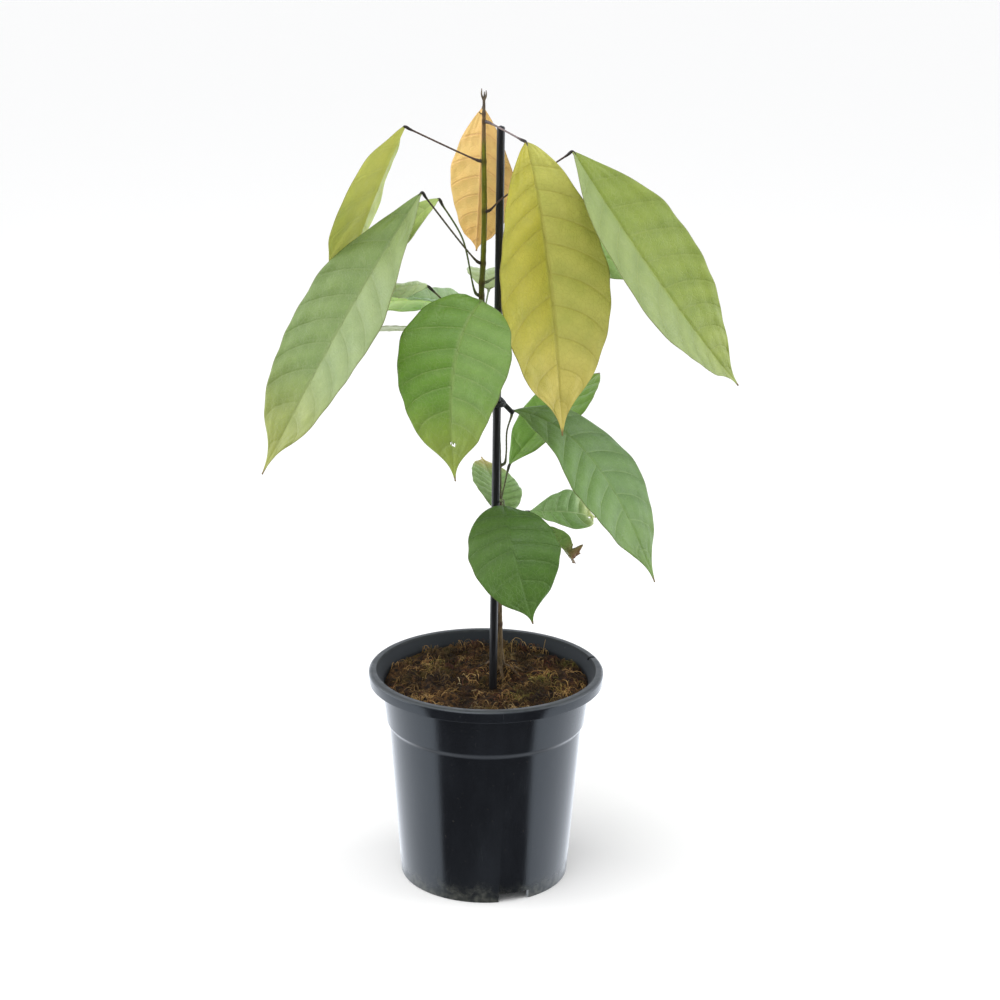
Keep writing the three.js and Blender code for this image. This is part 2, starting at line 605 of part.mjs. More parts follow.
// The petiole springs level from the stem and thickens into a swollen joint at each end.
function petioleGeometry(leaf) {
  const { midrib } = bladeSurface(leaf);
  const along = stemAlong(leaf.node);
  const stem = stemCurve.getPointAt(along);
  const first = vec(leaf.via ? leaf.via[0] : leaf.base);
  const outward = new THREE.Vector3(first.x - stem.x, first.y - stem.y, 0).normalize();
  const root = stem.clone().addScaledVector(outward, stemRadius(along) + CLEARANCE);
  const collar = root.clone().addScaledVector(outward, 2);
  const inBlade = midrib.getPoint(0.05);
  const points = [root, collar, ...(leaf.via || []).map(vec), vec(leaf.base), inBlade];
  const curve = new THREE.CatmullRomCurve3(points, false, 'centripetal');
  const radiusAt = (t) => {
    const swell = Math.exp(-(((t - 0.93) / 0.07) ** 2)) + 0.7 * Math.exp(-((t / 0.06) ** 2));
    return PETIOLE_RADIUS + (PULVINUS_RADIUS - PETIOLE_RADIUS) * Math.min(1, swell);
  };
  return rod(curve, radiusAt, PETIOLE_SIDES, PETIOLE_STEPS);
}

function leafGeometry(leaf) {
  return geometryOf(solid(bladeGeometry(leaf)).add(solid(petioleGeometry(leaf))));
}

// ---------------------------------------------------------------- the plant

const plant = new THREE.Group();

function place(name, geometry, finish) {
  const mesh = new THREE.Mesh(geometry, finish);
  mesh.name = name;
  plant.add(mesh);
}

place('pot', potGeometry(), material(0x23252a, 0.38));
place('soil', soilGeometry(), material(0x3b2a1a, 0.95));
place('stem', stemGeometry(), material(0x6b5a35, 0.75));
place('stake', stakeGeometry(), material(0x1b1c20, 0.42));
place('tie', tieGeometry(), material(0x1d1f1e, 0.5));
for (const [name, leaf] of Object.entries(LEAVES)) {
  place(name, leafGeometry(leaf), material(leaf.colour, 0.45));
}

export default plant;
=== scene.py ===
"""A young cacao tree in its nursery pot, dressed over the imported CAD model.

Lengths in the tables are millimetres in the CAD frame (+Z up, the pot stands on z = 0); meshes are made
in metres. Each CAD node is replaced by one finer piece of the same shape.
"""

import functools
from collections import namedtuple
from math import cos, log, pi, radians, sin, sqrt

import bmesh
import bpy
import numpy as np
from mathutils import Matrix, Vector


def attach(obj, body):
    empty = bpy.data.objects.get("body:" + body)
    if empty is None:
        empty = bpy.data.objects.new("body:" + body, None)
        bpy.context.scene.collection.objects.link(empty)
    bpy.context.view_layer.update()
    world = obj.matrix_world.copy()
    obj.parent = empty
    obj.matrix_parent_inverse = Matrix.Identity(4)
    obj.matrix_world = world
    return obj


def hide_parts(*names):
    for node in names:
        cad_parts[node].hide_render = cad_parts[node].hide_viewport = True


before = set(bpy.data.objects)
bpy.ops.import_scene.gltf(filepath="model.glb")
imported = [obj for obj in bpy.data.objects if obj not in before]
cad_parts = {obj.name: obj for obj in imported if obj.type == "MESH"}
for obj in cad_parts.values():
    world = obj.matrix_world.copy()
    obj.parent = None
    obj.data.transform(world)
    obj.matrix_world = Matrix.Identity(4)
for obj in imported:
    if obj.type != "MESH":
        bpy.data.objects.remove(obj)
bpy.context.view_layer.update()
scene = bpy.context.scene

# ------ sizes shared with the CAD model

POT_HEIGHT = 157.3
RIM_RADIUS = 85
RIM_WIDTH = 6
RIM_DEPTH = 8.6
WALL = 1.4
COLLAR_TOP_RADIUS = 75.6
COLLAR_FOOT_RADIUS = 72
COLLAR_FOOT_HEIGHT = 119
STEP_HEIGHT = 3
BODY_TOP_RADIUS = 69.8
FOOT_RADIUS = 61.2
FOOT_RING_WIDTH = 3.6
CHANNEL_HEIGHT = 7
FLOOR_THICKNESS = 2
PAD_RADIUS = 38
NOTCHES = 3
NOTCH_WIDTH = 23
NOTCH_HEIGHT = 6.6
NOTCH_TURN = 291
DRAIN_HOLES = 12
DRAIN_HOLE_RADIUS = 4
LABEL_SLOT_WIDTH = 2.6
LABEL_SLOT_TURN = 17

SOIL_EDGE_HEIGHT = 147.5
SOIL_CROWN_RISE = 5
SOIL_LUMP = 1.6
SOIL_EDGE_RADIUS = 73.7
# Where the soil is heaped or hollowed: (x, y, rise, spread).
SOIL_MOUNDS = [(9.6, 6, 4, 12), (8, -21, -4.5, 11)]

STEM_POINTS = [
    (9.8, 4.5, 112), (9.6, 4.3, 150), (9.4, 4, 168), (8.4, 3.6, 205), (7.4, 3.6, 280), (6.2, 3.6, 328),
    (3.6, 3.6, 357), (-2, 3.6, 395), (-6, 3.4, 431), (-5.2, 3, 454), (-4.6, 3, 490), (-5.3, 3, 524),
    (-5.7, 3, 566),
]
STEM_FOOT_RADIUS = 2.9
STEM_TOP_RADIUS = 1.6
CROWN_RADIUS = 4.6
CROWN_HEIGHT = 157
CROWN_SPREAD = 9
BUD_PRONGS = [(-1.6, 0.4, 7.0), (1.4, -0.6, 5.9), (0.2, 1.1, 4.9)]

STAKE_RADIUS = 2.8
STAKE_FOOT = np.array([4.8, -25, 62])
STAKE_TOP = np.array([6, 2.6, 548])
TIE_HEIGHT = 357
TIE_RADIUS = 1.6
TIE_TAIL_END = (16.4, -3.6, 349.6)

MARGIN_HALF_WIDTH = 0.45

# Each leaf's CAD values, in this order, under its number.
Leaf = namedtuple("Leaf", "node via base tip faces width arch sweep peak fold curl widest blunt veins wave")
LEAVES = {
    1: (524, [], (-60, 10, 546), (-107, 25, 419), (-0.86, 0.37, 0.36),
        68, 0, -8, 0.38, 8, 9, 0.52, 0.85, 8, 0.8),
    2: (454, [], (-47, -18, 506), (-153, -66, 321), (-0.59, -0.63, 0.5),
        82, -2, 6, 0.44, 6, 7, 0.53, 0.95, 10, 1.2),
    3: (431, [(-19.5, 2.5, 471)], (-36, 4, 498), (-90, 4, 436), (-0.6, -0.6, 0.5),
        28, 4, 0, 0.4, 10, 8, 0.5, 0.8, 6, 0.6),
    4: (556, [], (-6, 22, 558), (-10, 30, 457), (0.61, 0.79, 0.03), 55, 4, -2, 0.68, 1, 2, 0.45, 1, 8, 0.6),
    5: (551, [], (23, -16, 540), (51, -24, 339), (0.5, -0.86, 0.04),
        87, 4, -3, 0.34, 6, 6, 0.58, 0.55, 10, 1),
    6: (490, [(7, -6, 500)], (55, 0, 532), (176, 20, 365), (0.66, -0.64, 0.4),
        85, 9, 14, 0.53, 10, 11, 0.43, 1.1, 10, 1.2),
    7: (440, [], (40, 26, 463), (116, 34, 436), (0.2, -0.6, 0.75), 42, 6, 0, 0.4, 8, 8, 0.48, 0.7, 6, 0.6),
    8: (424, [], (-6, -42, 437), (-22, -84, 323), (-0.4, -0.8, 0.4), 84, 14, 6, 0.3, 4, 2, 0.44, 0.5, 8, 1),
    9: (424, [], (-15, 12, 423), (-64, 18, 426), (0, -0.05, 1), 40, 1, 0, 0.4, 8, 6, 0.5, 0.75, 6, 0.6),
    10: (402, [(-30, -6, 427)], (-43, -8, 440), (-80, 0, 434), (0, -0.2, 0.98),
        28, 1, 0, 0.35, -6, -8, 0.5, 0.7, 5, 0.5),
    11: (392, [], (-43, 22, 402), (-92, 20, 401), (0, 0.29, 0.96), 32, 1, 0, 0.4, 3, 2, 0.5, 0.7, 5, 0.3),
    12: (416, [], (-1, 60, 424), (-4, 110, 426), (0, -0.1, 0.98), 30, 7, 0, 0.4, 6, 4, 0.45, 0.6, 5, 0.5),
    13: (281, [], (15, 24, 304), (81, 88, 356), (-0.5, -0.5, 0.7), 52, 6, 3, 0.44, 6, 6, 0.54, 0.8, 7, 0.8),
    14: (309, [(12.5, 3, 318), (12.8, 4, 334)], (17, 8, 348), (118, -28, 234), (0.59, -0.45, 0.67),
        76, 16, -13, 0.27, 0, 2, 0.6, 0.74, 9, 1.2),
    15: (262, [], (12, 15, 270), (-5, 66, 297), (0.45, -0.4, 0.8),
        40, 3, -2, 0.4, 8, 6, 0.44, 0.55, 10, 0.5),
    16: (284, [(10.8, -2.5, 285)], (11, -22, 287), (32, -70, 217), (0.1, -0.8, 0.58),
        64, 17, 4, 0.34, 3, 2, 0.53, 0.57, 7, 0.8),
    17: (272, [], (30, 20, 270), (78, 30, 263), (0.1, -0.5, 0.86), 38, 6, 3, 0.5, 8, 6, 0.58, 0.75, 6, 0.8),
    18: (258, [], (33, 2, 262), (61, -4, 242), (0.5, -0.5, 0.7), 19, 4, 0, 0.45, 20, 40, 0.55, 0.7, 4, 0.8),
    19: (400, [], (-35, 36, 417), (-93, 34, 415), (0, -0.25, 0.96), 44, 4, 0, 0.4, 6, 4, 0.5, 0.65, 5, 0.6),
}

# How each leaf looks: colours as 0-255 sRGB for the half where `across` is negative, the other half, the
# end of the blade and the veins; how strongly its veins show; how far it swells between them, in mm; and a
# slot name after "leaf_".
Look = namedtuple("Look", "near far end vein strength relief slot")
# The two halves' colours differ partly in the leaf's own tone and partly by painted light and shade: each
# half is coloured as lit or shaded where the blade folds.
LOOKS = {
    # The bright colours of leaves 1, 4, 5 and 19 are partly painted light: the glow of light shining
    # through the thin blade, over their own tone.
    1: ((189, 193, 53), (189, 207, 80), (194, 195, 59), (204, 207, 74), 0.35, 0.7, "olive"),
    2: ((131, 149, 94), (110, 132, 70), (144, 149, 70), (148, 159, 107), 0.12, 1.0, "pale"),
    3: ((173, 196, 114), (164, 186, 105), (185, 196, 109), (208, 212, 150), 0.3, 0.8, "fresh"),
    4: ((243, 189, 94), (239, 181, 87), (247, 177, 85), (219, 153, 70), 0.8, 0.6, "peach"),
    5: ((180, 179, 83), (176, 169, 57), (192, 174, 86), (147, 136, 45), 0.36, 0.8, "olive"),
    6: ((126, 143, 56), (132, 149, 84), (136, 149, 66), (154, 165, 89), 0.15, 0.8, "fresh"),
    7: ((159, 193, 113), (149, 183, 101), (159, 189, 103), (198, 217, 150), 0.3, 0.9, "green"),
    8: ((106, 138, 62), (93, 130, 42), (132, 146, 56), (140, 158, 92), 0.28, 1.0, "green"),
    9: ((145, 185, 125), (169, 200, 151), (159, 196, 136), (209, 232, 191), 0.4, 1.0, "green"),
    10: ((201, 226, 168), (213, 238, 181), (209, 232, 168), (250, 250, 208), 0.3, 0.8, "fresh"),
    11: ((188, 198, 162), (182, 194, 154), (192, 200, 168), (202, 208, 180), 0.2, 0.6, "pale"),
    12: ((160, 178, 128), (156, 174, 122), (164, 180, 130), (170, 186, 138), 0.25, 0.7, "pale"),
    13: ((102, 144, 47), (109, 148, 55), (112, 144, 53), (139, 170, 77), 0.3, 1.0, "green"),
    14: ((91, 123, 60), (95, 127, 61), (97, 125, 56), (128, 154, 91), 0.34, 1.05, "green"),
    15: ((152, 182, 119), (143, 176, 108), (207, 182, 113), (190, 211, 158), 0.6, 1.8, "green"),
    16: ((68, 102, 32), (72, 104, 36), (68, 100, 30), (104, 134, 66), 0.16, 0.4, "deep"),
    17: ((152, 187, 123), (143, 180, 109), (207, 211, 131), (226, 242, 192), 0.5, 1.3, "green"),
    18: ((116, 148, 70), (106, 136, 62), (128, 92, 62), (164, 180, 110), 0.3, 0.8, "fresh"),
    19: ((213, 247, 161), (205, 241, 149), (223, 247, 161), (244, 250, 200), 0.3, 0.8, "fresh"),
}

# Blades that end in a dried, crumpled scrap: its half width in mm, from this share of the length on.
CRISP_TIPS = {18: (8.5, 0.7)}
# Blades whose upper side is a deeper green than the underside, and by how much; on leaf 1 this also keeps
# its painted glow of light through the blade to the underside.
DEEPER_ABOVE = {1: 0.5}
# Blades with a rounded end, without the drawn-out tip.
ROUNDED = (13,)

# Bites and tears: (leaf, along the blade, across it, radius in mm).
HOLES = [(8, 0.86, -0.1, 1.5), (8, 0.85, 0.02, 0.9), (17, 0.86, 0.3, 1.5)]


def linear(*colour):
    """A colour given as 0-255 sRGB, as the linear RGBA that shaders take."""
    share = np.array(colour, float) / 255
    values = np.where(share <= 0.04045, share / 12.92, ((share + 0.055) / 1.055) ** 2.4)
    return (*values.tolist(), 1.0)


def palette(*colours):
    return [linear(*colour) for colour in colours]


def unit(vectors):
    vectors = np.asarray(vectors, float)
    return vectors / np.maximum(np.linalg.norm(vectors, axis=-1, keepdims=True), 1e-12)


def smoothstep(values, low, high):
    share = np.clip((values - low) / (high - low), 0, 1)
    return share * share * (3 - 2 * share)


def bell(distance, width):
    return np.exp(-((distance / width) ** 2))


def turns(count):
    """Evenly spaced directions round a circle."""
    return np.arange(count) / count * 2 * pi


def stacked(*values):
    """One row for every element, with one column for each of the values."""
    return np.stack(np.broadcast_arrays(*values), -1).reshape(-1, len(values))


def greys(values):
    """One grey for each value, as a `form` for a tube's points."""
    return stacked(values, values, values, 1)


# ------ materials

DRY_BROWN = (0.16, 0.085, 0.03, 1)
DEEP_GREEN = (0.1, 0.15, 0.02, 1)
# In metres.
RIM_TOP = POT_HEIGHT / 1000


class Graph:
    """A material's node graph; most calls add a node and return its output socket."""

    def __init__(self, name):
        self.material = bpy.data.materials.new(name)
        self.material.use_nodes = True
        self.tree = self.material.node_tree
        self.shader = self.tree.nodes["Principled BSDF"]

    def node(self, kind, inputs, output=0, **settings):
        made = self.tree.nodes.new("ShaderNode" + kind)
        for key, value in settings.items():
            setattr(made, key, value)
        for key, value in inputs.items():
            self.feed(made.inputs[key], value)
        return made.outputs[output]

    def feed(self, socket, value):
        if isinstance(value, bpy.types.NodeSocket):
            self.tree.links.new(value, socket)
        else:
            socket.default_value = value

    def math(self, operation, *values):
        return self.node("Math", dict(enumerate(values)), operation=operation)

    def times(self, *values):
        return self.math("MULTIPLY", *values)

    def plus(self, *values):
        return self.math("ADD", *values)

    def blend(self, share, first, second):
        """A number that goes from the first to the second as the share goes from 0 to 1."""
        return self.plus(self.times(first, self.math("SUBTRACT", 1, share)), self.times(second, share))

    def span(self, value, low, high, start=0, end=1):
        """Maps low..high smoothly onto start..end."""
        inputs = {"Value": value, "From Min": low, "From Max": high, "To Min": start, "To Max": end}
        return self.node("MapRange", inputs, interpolation_type="SMOOTHSTEP")

    def mix(self, share, first, second, mode="MIX"):
        inputs = {0: share, 6: first, 7: second}
        return self.node("Mix", inputs, 2, data_type="RGBA", blend_type=mode)

    def coat(self, paint, share, strength=None, mode="MIX"):
        """Lays a paint over the colour made so far."""
        share = share if strength is None else self.times(share, strength)
        self.colour = self.mix(share, self.colour, paint, mode)

    def noise(self, where, scale, detail=3, roughness=0.55):
        inputs = {"Vector": where, "Scale": scale, "Detail": detail, "Roughness": roughness}
        return self.node("TexNoise", inputs, "Fac")

    def cells(self, where, scale, feature="DISTANCE_TO_EDGE"):
        return self.node("TexVoronoi", {"Vector": where, "Scale": scale}, "Distance", feature=feature)

    def place(self):
        return self.node("TexCoord", {}, "Object")

    def stretched(self, where, scale):
        return self.node("Mapping", {"Vector": where, "Scale": scale})

    def axis(self, where, name):
        return self.node("SeparateXYZ", {"Vector": where}, name)

    def form(self):
        """The mesh's `form`: its four numbers, then the first three as a colour."""
        colour = self.node("Attribute", {}, "Color", attribute_name="form")
        parts = [self.node("SeparateColor", {"Color": colour}, i) for i in range(3)]
        return (*parts, self.node("Attribute", {}, "Alpha", attribute_name="form"), colour)

    def uv(self, name):
        return self.node("UVMap", {}, uv_map=name)

    def bump(self, height, distance, strength=1):
        inputs = {"Height": height, "Distance": distance, "Strength": strength}
        self.feed(self.shader.inputs["Normal"], self.node("Bump", inputs))

    def finish(self, **sockets):
        """The material, with the colour made so far and these values on its shader."""
        for name, value in {"base_color": self.colour, **sockets}.items():
            self.feed(self.shader.inputs[name.replace("_", " ").title().replace("Ior", "IOR")], value)
        return self.material


class SkyGraph(Graph):
    """The same for a world."""

    def __init__(self, world):
        world.use_nodes = True
        self.tree = world.node_tree
        self.shader = self.tree.nodes["Background"]


def blade_material(name, look, deeper):
    """A blade: `form` holds how far along, how far out, which half and face; `phase` counts the veins."""
    mat = Graph(name)
    along, out, half, under, _ = mat.form()
    flat = mat.uv("flat")
    from_vein = mat.math("PINGPONG", mat.axis(mat.uv("phase"), "Y"), 0.5)
    vein_paint = linear(*look.vein)
    # Each half's colour holds painted light and shade from how its side of the fold meets the light, over
    # the leaf's own tone.
    mat.colour = mat.mix(half, *palette(look.near, look.far))
    mat.coat(linear(*look.end), mat.span(along, 0.62, 1))
    blotch = mat.span(mat.noise(flat, 34, 4, 0.6), 0.35, 0.75, 0, 0.42)
    mat.coat((0.5, 0.62, 0.42, 1), blotch, mode="MULTIPLY")
    mottle = mat.noise(flat, 140, 5, 0.65)
    mat.coat((1, 1, 0.85, 1), mat.span(mottle, 0.5, 0.8, 0, 0.2), mode="SOFT_LIGHT")
    mat.coat((1, 1, 1, 1), mat.span(from_vein, 0.06, 0.42), 0.16, "SOFT_LIGHT")
    line = mat.span(from_vein, 0.008, 0.045, 1, 0)
    line = mat.times(line, mat.span(out, 0.72, 0.97, 1, 0.15))
    line = mat.times(line, mat.span(along, 0.9, 0.97, 1, 0))
    midrib = mat.span(out, 0.022, 0.06, 1, 0)
    mat.coat(vein_paint, mat.math("MAXIMUM", line, midrib), look.strength)
    net = mat.span(mat.cells(flat, 330), 0, 0.09, 1, 0)
    mat.coat(vein_paint, net, 0.16)
    mat.coat(mat.mix(0.35, mat.colour, (0.62, 0.68, 0.5, 1)), under, 0.5)
    if deeper:
        mat.coat(DEEP_GREEN, mat.math("SUBTRACT", 1, under), deeper)
    ragged = mat.plus(out, mat.times(mat.noise(flat, 260), 0.03))
    mat.coat(DRY_BROWN, mat.span(ragged, 0.995, 1.014, 0, 0.3))
    dry = mat.plus(along, mat.times(mat.noise(flat, 200), 0.02))
    mat.coat(DRY_BROWN, mat.span(dry, 0.985, 1.004, 0, 0.85))
    specks = mat.noise(mat.place(), 420, 2)
    mat.coat(DRY_BROWN, mat.span(specks, 0.73, 0.78), 0.35)
    height = mat.times(mat.span(from_vein, 0, 0.09), 0.5)
    height = mat.math("SUBTRACT", height, mat.times(net, 0.22))
    mat.bump(mat.plus(height, mat.times(mottle, 0.35)), 0.0006, 0.8)
    roughness = mat.span(mat.noise(flat, 60), 0.3, 0.7, 0.36, 0.52)
    roughness = mat.plus(roughness, mat.times(under, 0.12))
    return mat.finish(roughness=roughness, specular_ior_level=0.4)


def stalk_material(name, middle):
    """A petiole: its own colour along the middle, dark at the swollen joints (`form` holds how dark)."""
    mat = Graph(name)
    fine = mat.noise(mat.place(), 900, 4)
    mat.colour = linear(*middle)
    mat.coat((0.035, 0.02, 0.012, 1), mat.span(fine, 0.3, 0.7, 0, 0.5))
    mat.coat((0.014, 0.010, 0.008, 1), mat.form()[0])
    mat.bump(fine, 0.0004, 0.6)
    return mat.finish(roughness=mat.span(fine, 0.3, 0.7, 0.5, 0.7))


# Dark and pale streaks of the old wood at the foot, and of what takes over higher up: (from, to, dark,
# pale), with the heights in metres. The streaks are the bark's own, but their dark and pale colours are
# partly painted shade and painted highlight, taken from the stem's shaded and lit sides.
OLD_WOOD = ((46, 36, 22), (122, 102, 70))
BARK_ZONES = [
    (0.22, 0.34, (58, 68, 16), (94, 96, 30)), (0.43, 0.47, (84, 90, 12), (116, 118, 28)),
    (0.532, 0.542, (84, 62, 34), (130, 108, 66)), (0.552, 0.56, (62, 52, 42), (122, 110, 92)),
]


def bark_material():
    """Olive young wood over grey-brown old wood; `form` holds how brown a leaf node makes it."""
    mat = Graph("stem_bark")
    place = mat.place()
    height = mat.axis(place, "Z")
    streak = mat.noise(mat.stretched(place, (1, 1, 0.12)), 700, 5, 0.65)
    streak = mat.span(streak, 0.3, 0.7)
    # The streak colours are the bark's own tone and partly painted shade and painted highlight of the
    # stem's sides.
    mat.colour = mat.mix(streak, *palette(*OLD_WOOD))
    for low, high, dark, pale in BARK_ZONES:
        mat.coat(mat.mix(streak, *palette(dark, pale)), mat.span(height, low, high))
    mat.coat(linear(66, 42, 28), mat.form()[0])
    warts = mat.span(mat.cells(place, 420, "F1"), 0.1, 0.28, 1, 0)
    mat.coat(linear(150, 134, 92), warts, 0.25)
    mat.bump(mat.plus(streak, mat.times(warts, 0.5)), 0.0005, 0.8)
    return mat.finish(roughness=mat.span(streak, 0, 1, 0.5, 0.75), specular_ior_level=0.25)


def pot_material():
    """Moulded black plastic: glossy but for its inside, with dust, scuffs, and soil stains at its foot."""
    mat = Graph("pot_plastic")
    place = mat.place()
    height = mat.axis(place, "Z")
    film = mat.noise(mat.stretched(place, (1, 1, 0.35)), 26, 6, 0.62)
    mat.colour = (0.006, 0.0065, 0.0085, 1)
    mat.coat((0.012, 0.0135, 0.017, 1), mat.span(film, 0.35, 0.75))
    mat.coat((0.06, 0.055, 0.045, 1), mat.span(mat.noise(place, 520, 2), 0.71, 0.75), 0.5)
    scratch = mat.noise(mat.stretched(place, (1, 1, 0.06)), 340, 3, 0.7)
    mat.coat((0.06, 0.065, 0.07, 1), mat.span(scratch, 0.68, 0.76, 0, 0.25))
    splash = mat.plus(height, mat.times(mat.noise(place, 90, 5, 0.65), 0.03))
    stain = mat.span(splash, 0.014, 0.032, 0.6, 0)
    crumbs = mat.span(mat.noise(place, 240, 4), 0.35, 0.7)
    mat.coat(mat.mix(crumbs, (0.02, 0.02, 0.014, 1), (0.12, 0.12, 0.095, 1)), stain)
    rim = mat.span(height, RIM_TOP - 0.0018, RIM_TOP - 0.0006)
    dust = mat.times(rim, mat.span(mat.noise(place, 160, 5), 0.25, 0.75, 0.3, 0.85))
    mat.coat((0.05, 0.053, 0.055, 1), dust)
    flat = mat.node("VectorMath", {0: place, 1: (1, 1, 0)}, operation="MULTIPLY")
    normal = mat.node("NewGeometry", {}, "Normal")
    outward = mat.node("VectorMath", {0: flat, 1: normal}, "Value", operation="DOT_PRODUCT")
    inside = mat.span(outward, -0.03, -0.01, 1, 0)
    inside = mat.times(inside, mat.span(height, 0.1, 0.12))
    roughness = mat.span(film, 0.3, 0.75, 0.11, 0.19)
    for dull, more in ((stain, 0.45), (dust, 0.5), (inside, 0.6)):
        roughness = mat.plus(roughness, mat.times(dull, more))
    mat.bump(mat.plus(mat.noise(place, 1500, 2), mat.times(scratch, 1.2)), 0.00006, 0.4)
    return mat.finish(roughness=roughness, specular_tint=(0.84, 0.93, 1, 1))


def plastic_material(name, paint, roughness, grain_stretch):
    """Extruded black plastic with fine lengthways drawing marks."""
    mat = Graph(name)
    place = mat.place()
    drawn = mat.noise(mat.stretched(place, grain_stretch), 900, 4, 0.6)
    mat.colour = paint
    mat.coat((*[2.2 * share for share in paint[:3]], 1), mat.span(drawn, 0.35, 0.75))
    mat.coat((0.04, 0.036, 0.03, 1), mat.span(mat.noise(place, 300, 3), 0.62, 0.8, 0, 0.3))
    mat.bump(drawn, 0.00015, 0.6)
    rough = mat.span(drawn, 0.3, 0.7, roughness, roughness + 0.16)
    return mat.finish(roughness=rough, specular_ior_level=0.35)


def soil_material():
    """Dark damp peat with paler crumbs, redder and mossier in patches."""
    mat = Graph("soil_peat")
    place = mat.place()
    crumb = mat.noise(place, 260, 6, 0.72)
    mat.colour = linear(15, 9, 6)
    mat.coat(linear(104, 75, 44), mat.span(crumb, 0.38, 0.7))
    mat.coat(linear(26, 16, 12), mat.span(mat.noise(place, 42, 4, 0.6), 0.42, 0.62, 0, 0.75))
    mat.coat(linear(96, 82, 26), mat.span(mat.noise(place, 30, 3), 0.54, 0.68), 0.4)
    fleck = mat.span(mat.noise(place, 620, 3), 0.6, 0.72)
    mat.coat(linear(160, 124, 74), fleck, 0.4)
    mat.bump(mat.plus(crumb, mat.times(fleck, 0.4)), 0.0026)
    return mat.finish(roughness=mat.span(crumb, 0.3, 0.7, 0.75, 1), specular_ior_level=0.2)


def fibre_material():
    """Strands of the soil; `form` holds each one's colour."""
    mat = Graph("soil_fibre")
    shade = mat.noise(mat.place(), 800, 3)
    mat.colour = mat.form()[-1]
    mat.coat((0.02, 0.012, 0.006, 1), mat.span(shade, 0.3, 0.7, 0, 0.45))
    mat.bump(shade, 0.0002, 0.6)
    return mat.finish(roughness=mat.span(shade, 0.3, 0.7, 0.6, 0.9), specular_ior_level=0.25)


# ------ meshes

class Shape:
    """Points in mm, faces, two UV pairs and a four-number `form` for each point, and a material index."""

    def __init__(self, points, faces, form=0, phase=0, flat=0, material=0):
        self.points = np.asarray(points, float)
        self.faces = faces
        self.material = material
        for layer, values, size in (("form", form, 4), ("phase", phase, 2), ("flat", flat, 2)):
            setattr(self, layer, np.broadcast_to(values, (len(points), size)))


def shade_smooth(mesh, sharp=None):
    """Smooth all over but for edges sharper than that angle in degrees."""
    mesh.polygons.foreach_set("use_smooth", [True] * len(mesh.polygons))
    if sharp is not None:
        mesh.set_sharp_from_angle(angle=radians(sharp))


def add_object(name, data):
    made = bpy.data.objects.new(name, data)
    scene.collection.objects.link(made)
    return made


def make_object(name, shapes, materials=(), sharp=None):
    points, faces, indices = [], [], []
    start = 0
    for shape in shapes:
        points.append(shape.points / 1000)
        faces += [[start + corner for corner in face] for face in shape.faces]
        indices += [shape.material] * len(shape.faces)
        start += len(shape.points)
    mesh = bpy.data.meshes.new(name)
    mesh.from_pydata(np.vstack(points).tolist(), [], faces)
    outward = bmesh.new()
    outward.from_mesh(mesh)
    bmesh.ops.recalc_face_normals(outward, faces=outward.faces)
    outward.to_mesh(mesh)
    outward.free()
    corners = np.empty(len(mesh.loops), np.int32)
    mesh.loops.foreach_get("vertex_index", corners)
    for layer in ("phase", "flat"):
        values = np.vstack([getattr(shape, layer) for shape in shapes])
        mesh.uv_layers.new(name=layer).data.foreach_set("uv", values[corners].ravel().astype(np.float32))
    form = np.vstack([shape.form for shape in shapes]).ravel().astype(np.float32)
    mesh.attributes.new("form", "FLOAT_COLOR", "POINT").data.foreach_set("color", form)
    for material in materials:
        mesh.materials.append(material)
    mesh.polygons.foreach_set("material_index", indices)
    shade_smooth(mesh, sharp)
    return add_object(name, mesh)


def make_piece(name, shapes, materials, node, sharp=None):
    """One object from its shapes, riding on the root body in place of a CAD node."""
    piece = make_object(name, shapes, materials, sharp)
    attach(piece, "root")
    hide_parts(node)
    return piece


def closed_faces(rings, sides):
    """Faces round rings of `sides` points each, which follow the two end points 0 and 1."""
    faces = []
    last = 2 + (rings - 1) * sides
    for j in range(sides):
        k = (j + 1) % sides
        faces += [(0, 2 + k, 2 + j), (1, last + j, last + k)]
        for row in range(2, last, sides):
            faces.append((row + j, row + k, row + sides + k, row + sides + j))
    return faces


def travelled(path):
    """How far along the path each of its points is."""
    return np.concatenate([[0], np.cumsum(np.linalg.norm(np.diff(path, axis=0), axis=1))])


def spline(points, count, closed=False):
    """`count` points evenly along a centripetal Catmull-Rom curve through `points`."""
    knots = np.array(points, float)
    if closed:
        knots = np.vstack([knots[-1:], knots, knots[:2]])
    else:
        knots = np.vstack([2 * knots[0] - knots[1], knots, 2 * knots[-1] - knots[-2]])
    share = np.linspace(0, 1, 24)[:, None]
    traced = []
    for i in range(len(knots) - 3):
        a, b, c, d = knots[i:i + 4]
        near, here, far = [max(np.linalg.norm(q - p) ** 0.5, 1e-4) for p, q in ((a, b), (b, c), (c, d))]
        first = ((b - a) / near - (c - a) / (near + here) + (c - b) / here) * here
        second = ((c - b) / here - (d - b) / (here + far) + (d - c) / far) * here
        cubic = 2 * b - 2 * c + first + second
        square = -3 * b + 3 * c - 2 * first - second
        traced.append(b + first * share + square * share ** 2 + cubic * share ** 3)
    path = np.vstack(traced)
    steps = travelled(path)
    wanted = np.linspace(0, steps[-1], count)
    return np.stack([np.interp(wanted, steps, path[:, k]) for k in range(3)], 1)


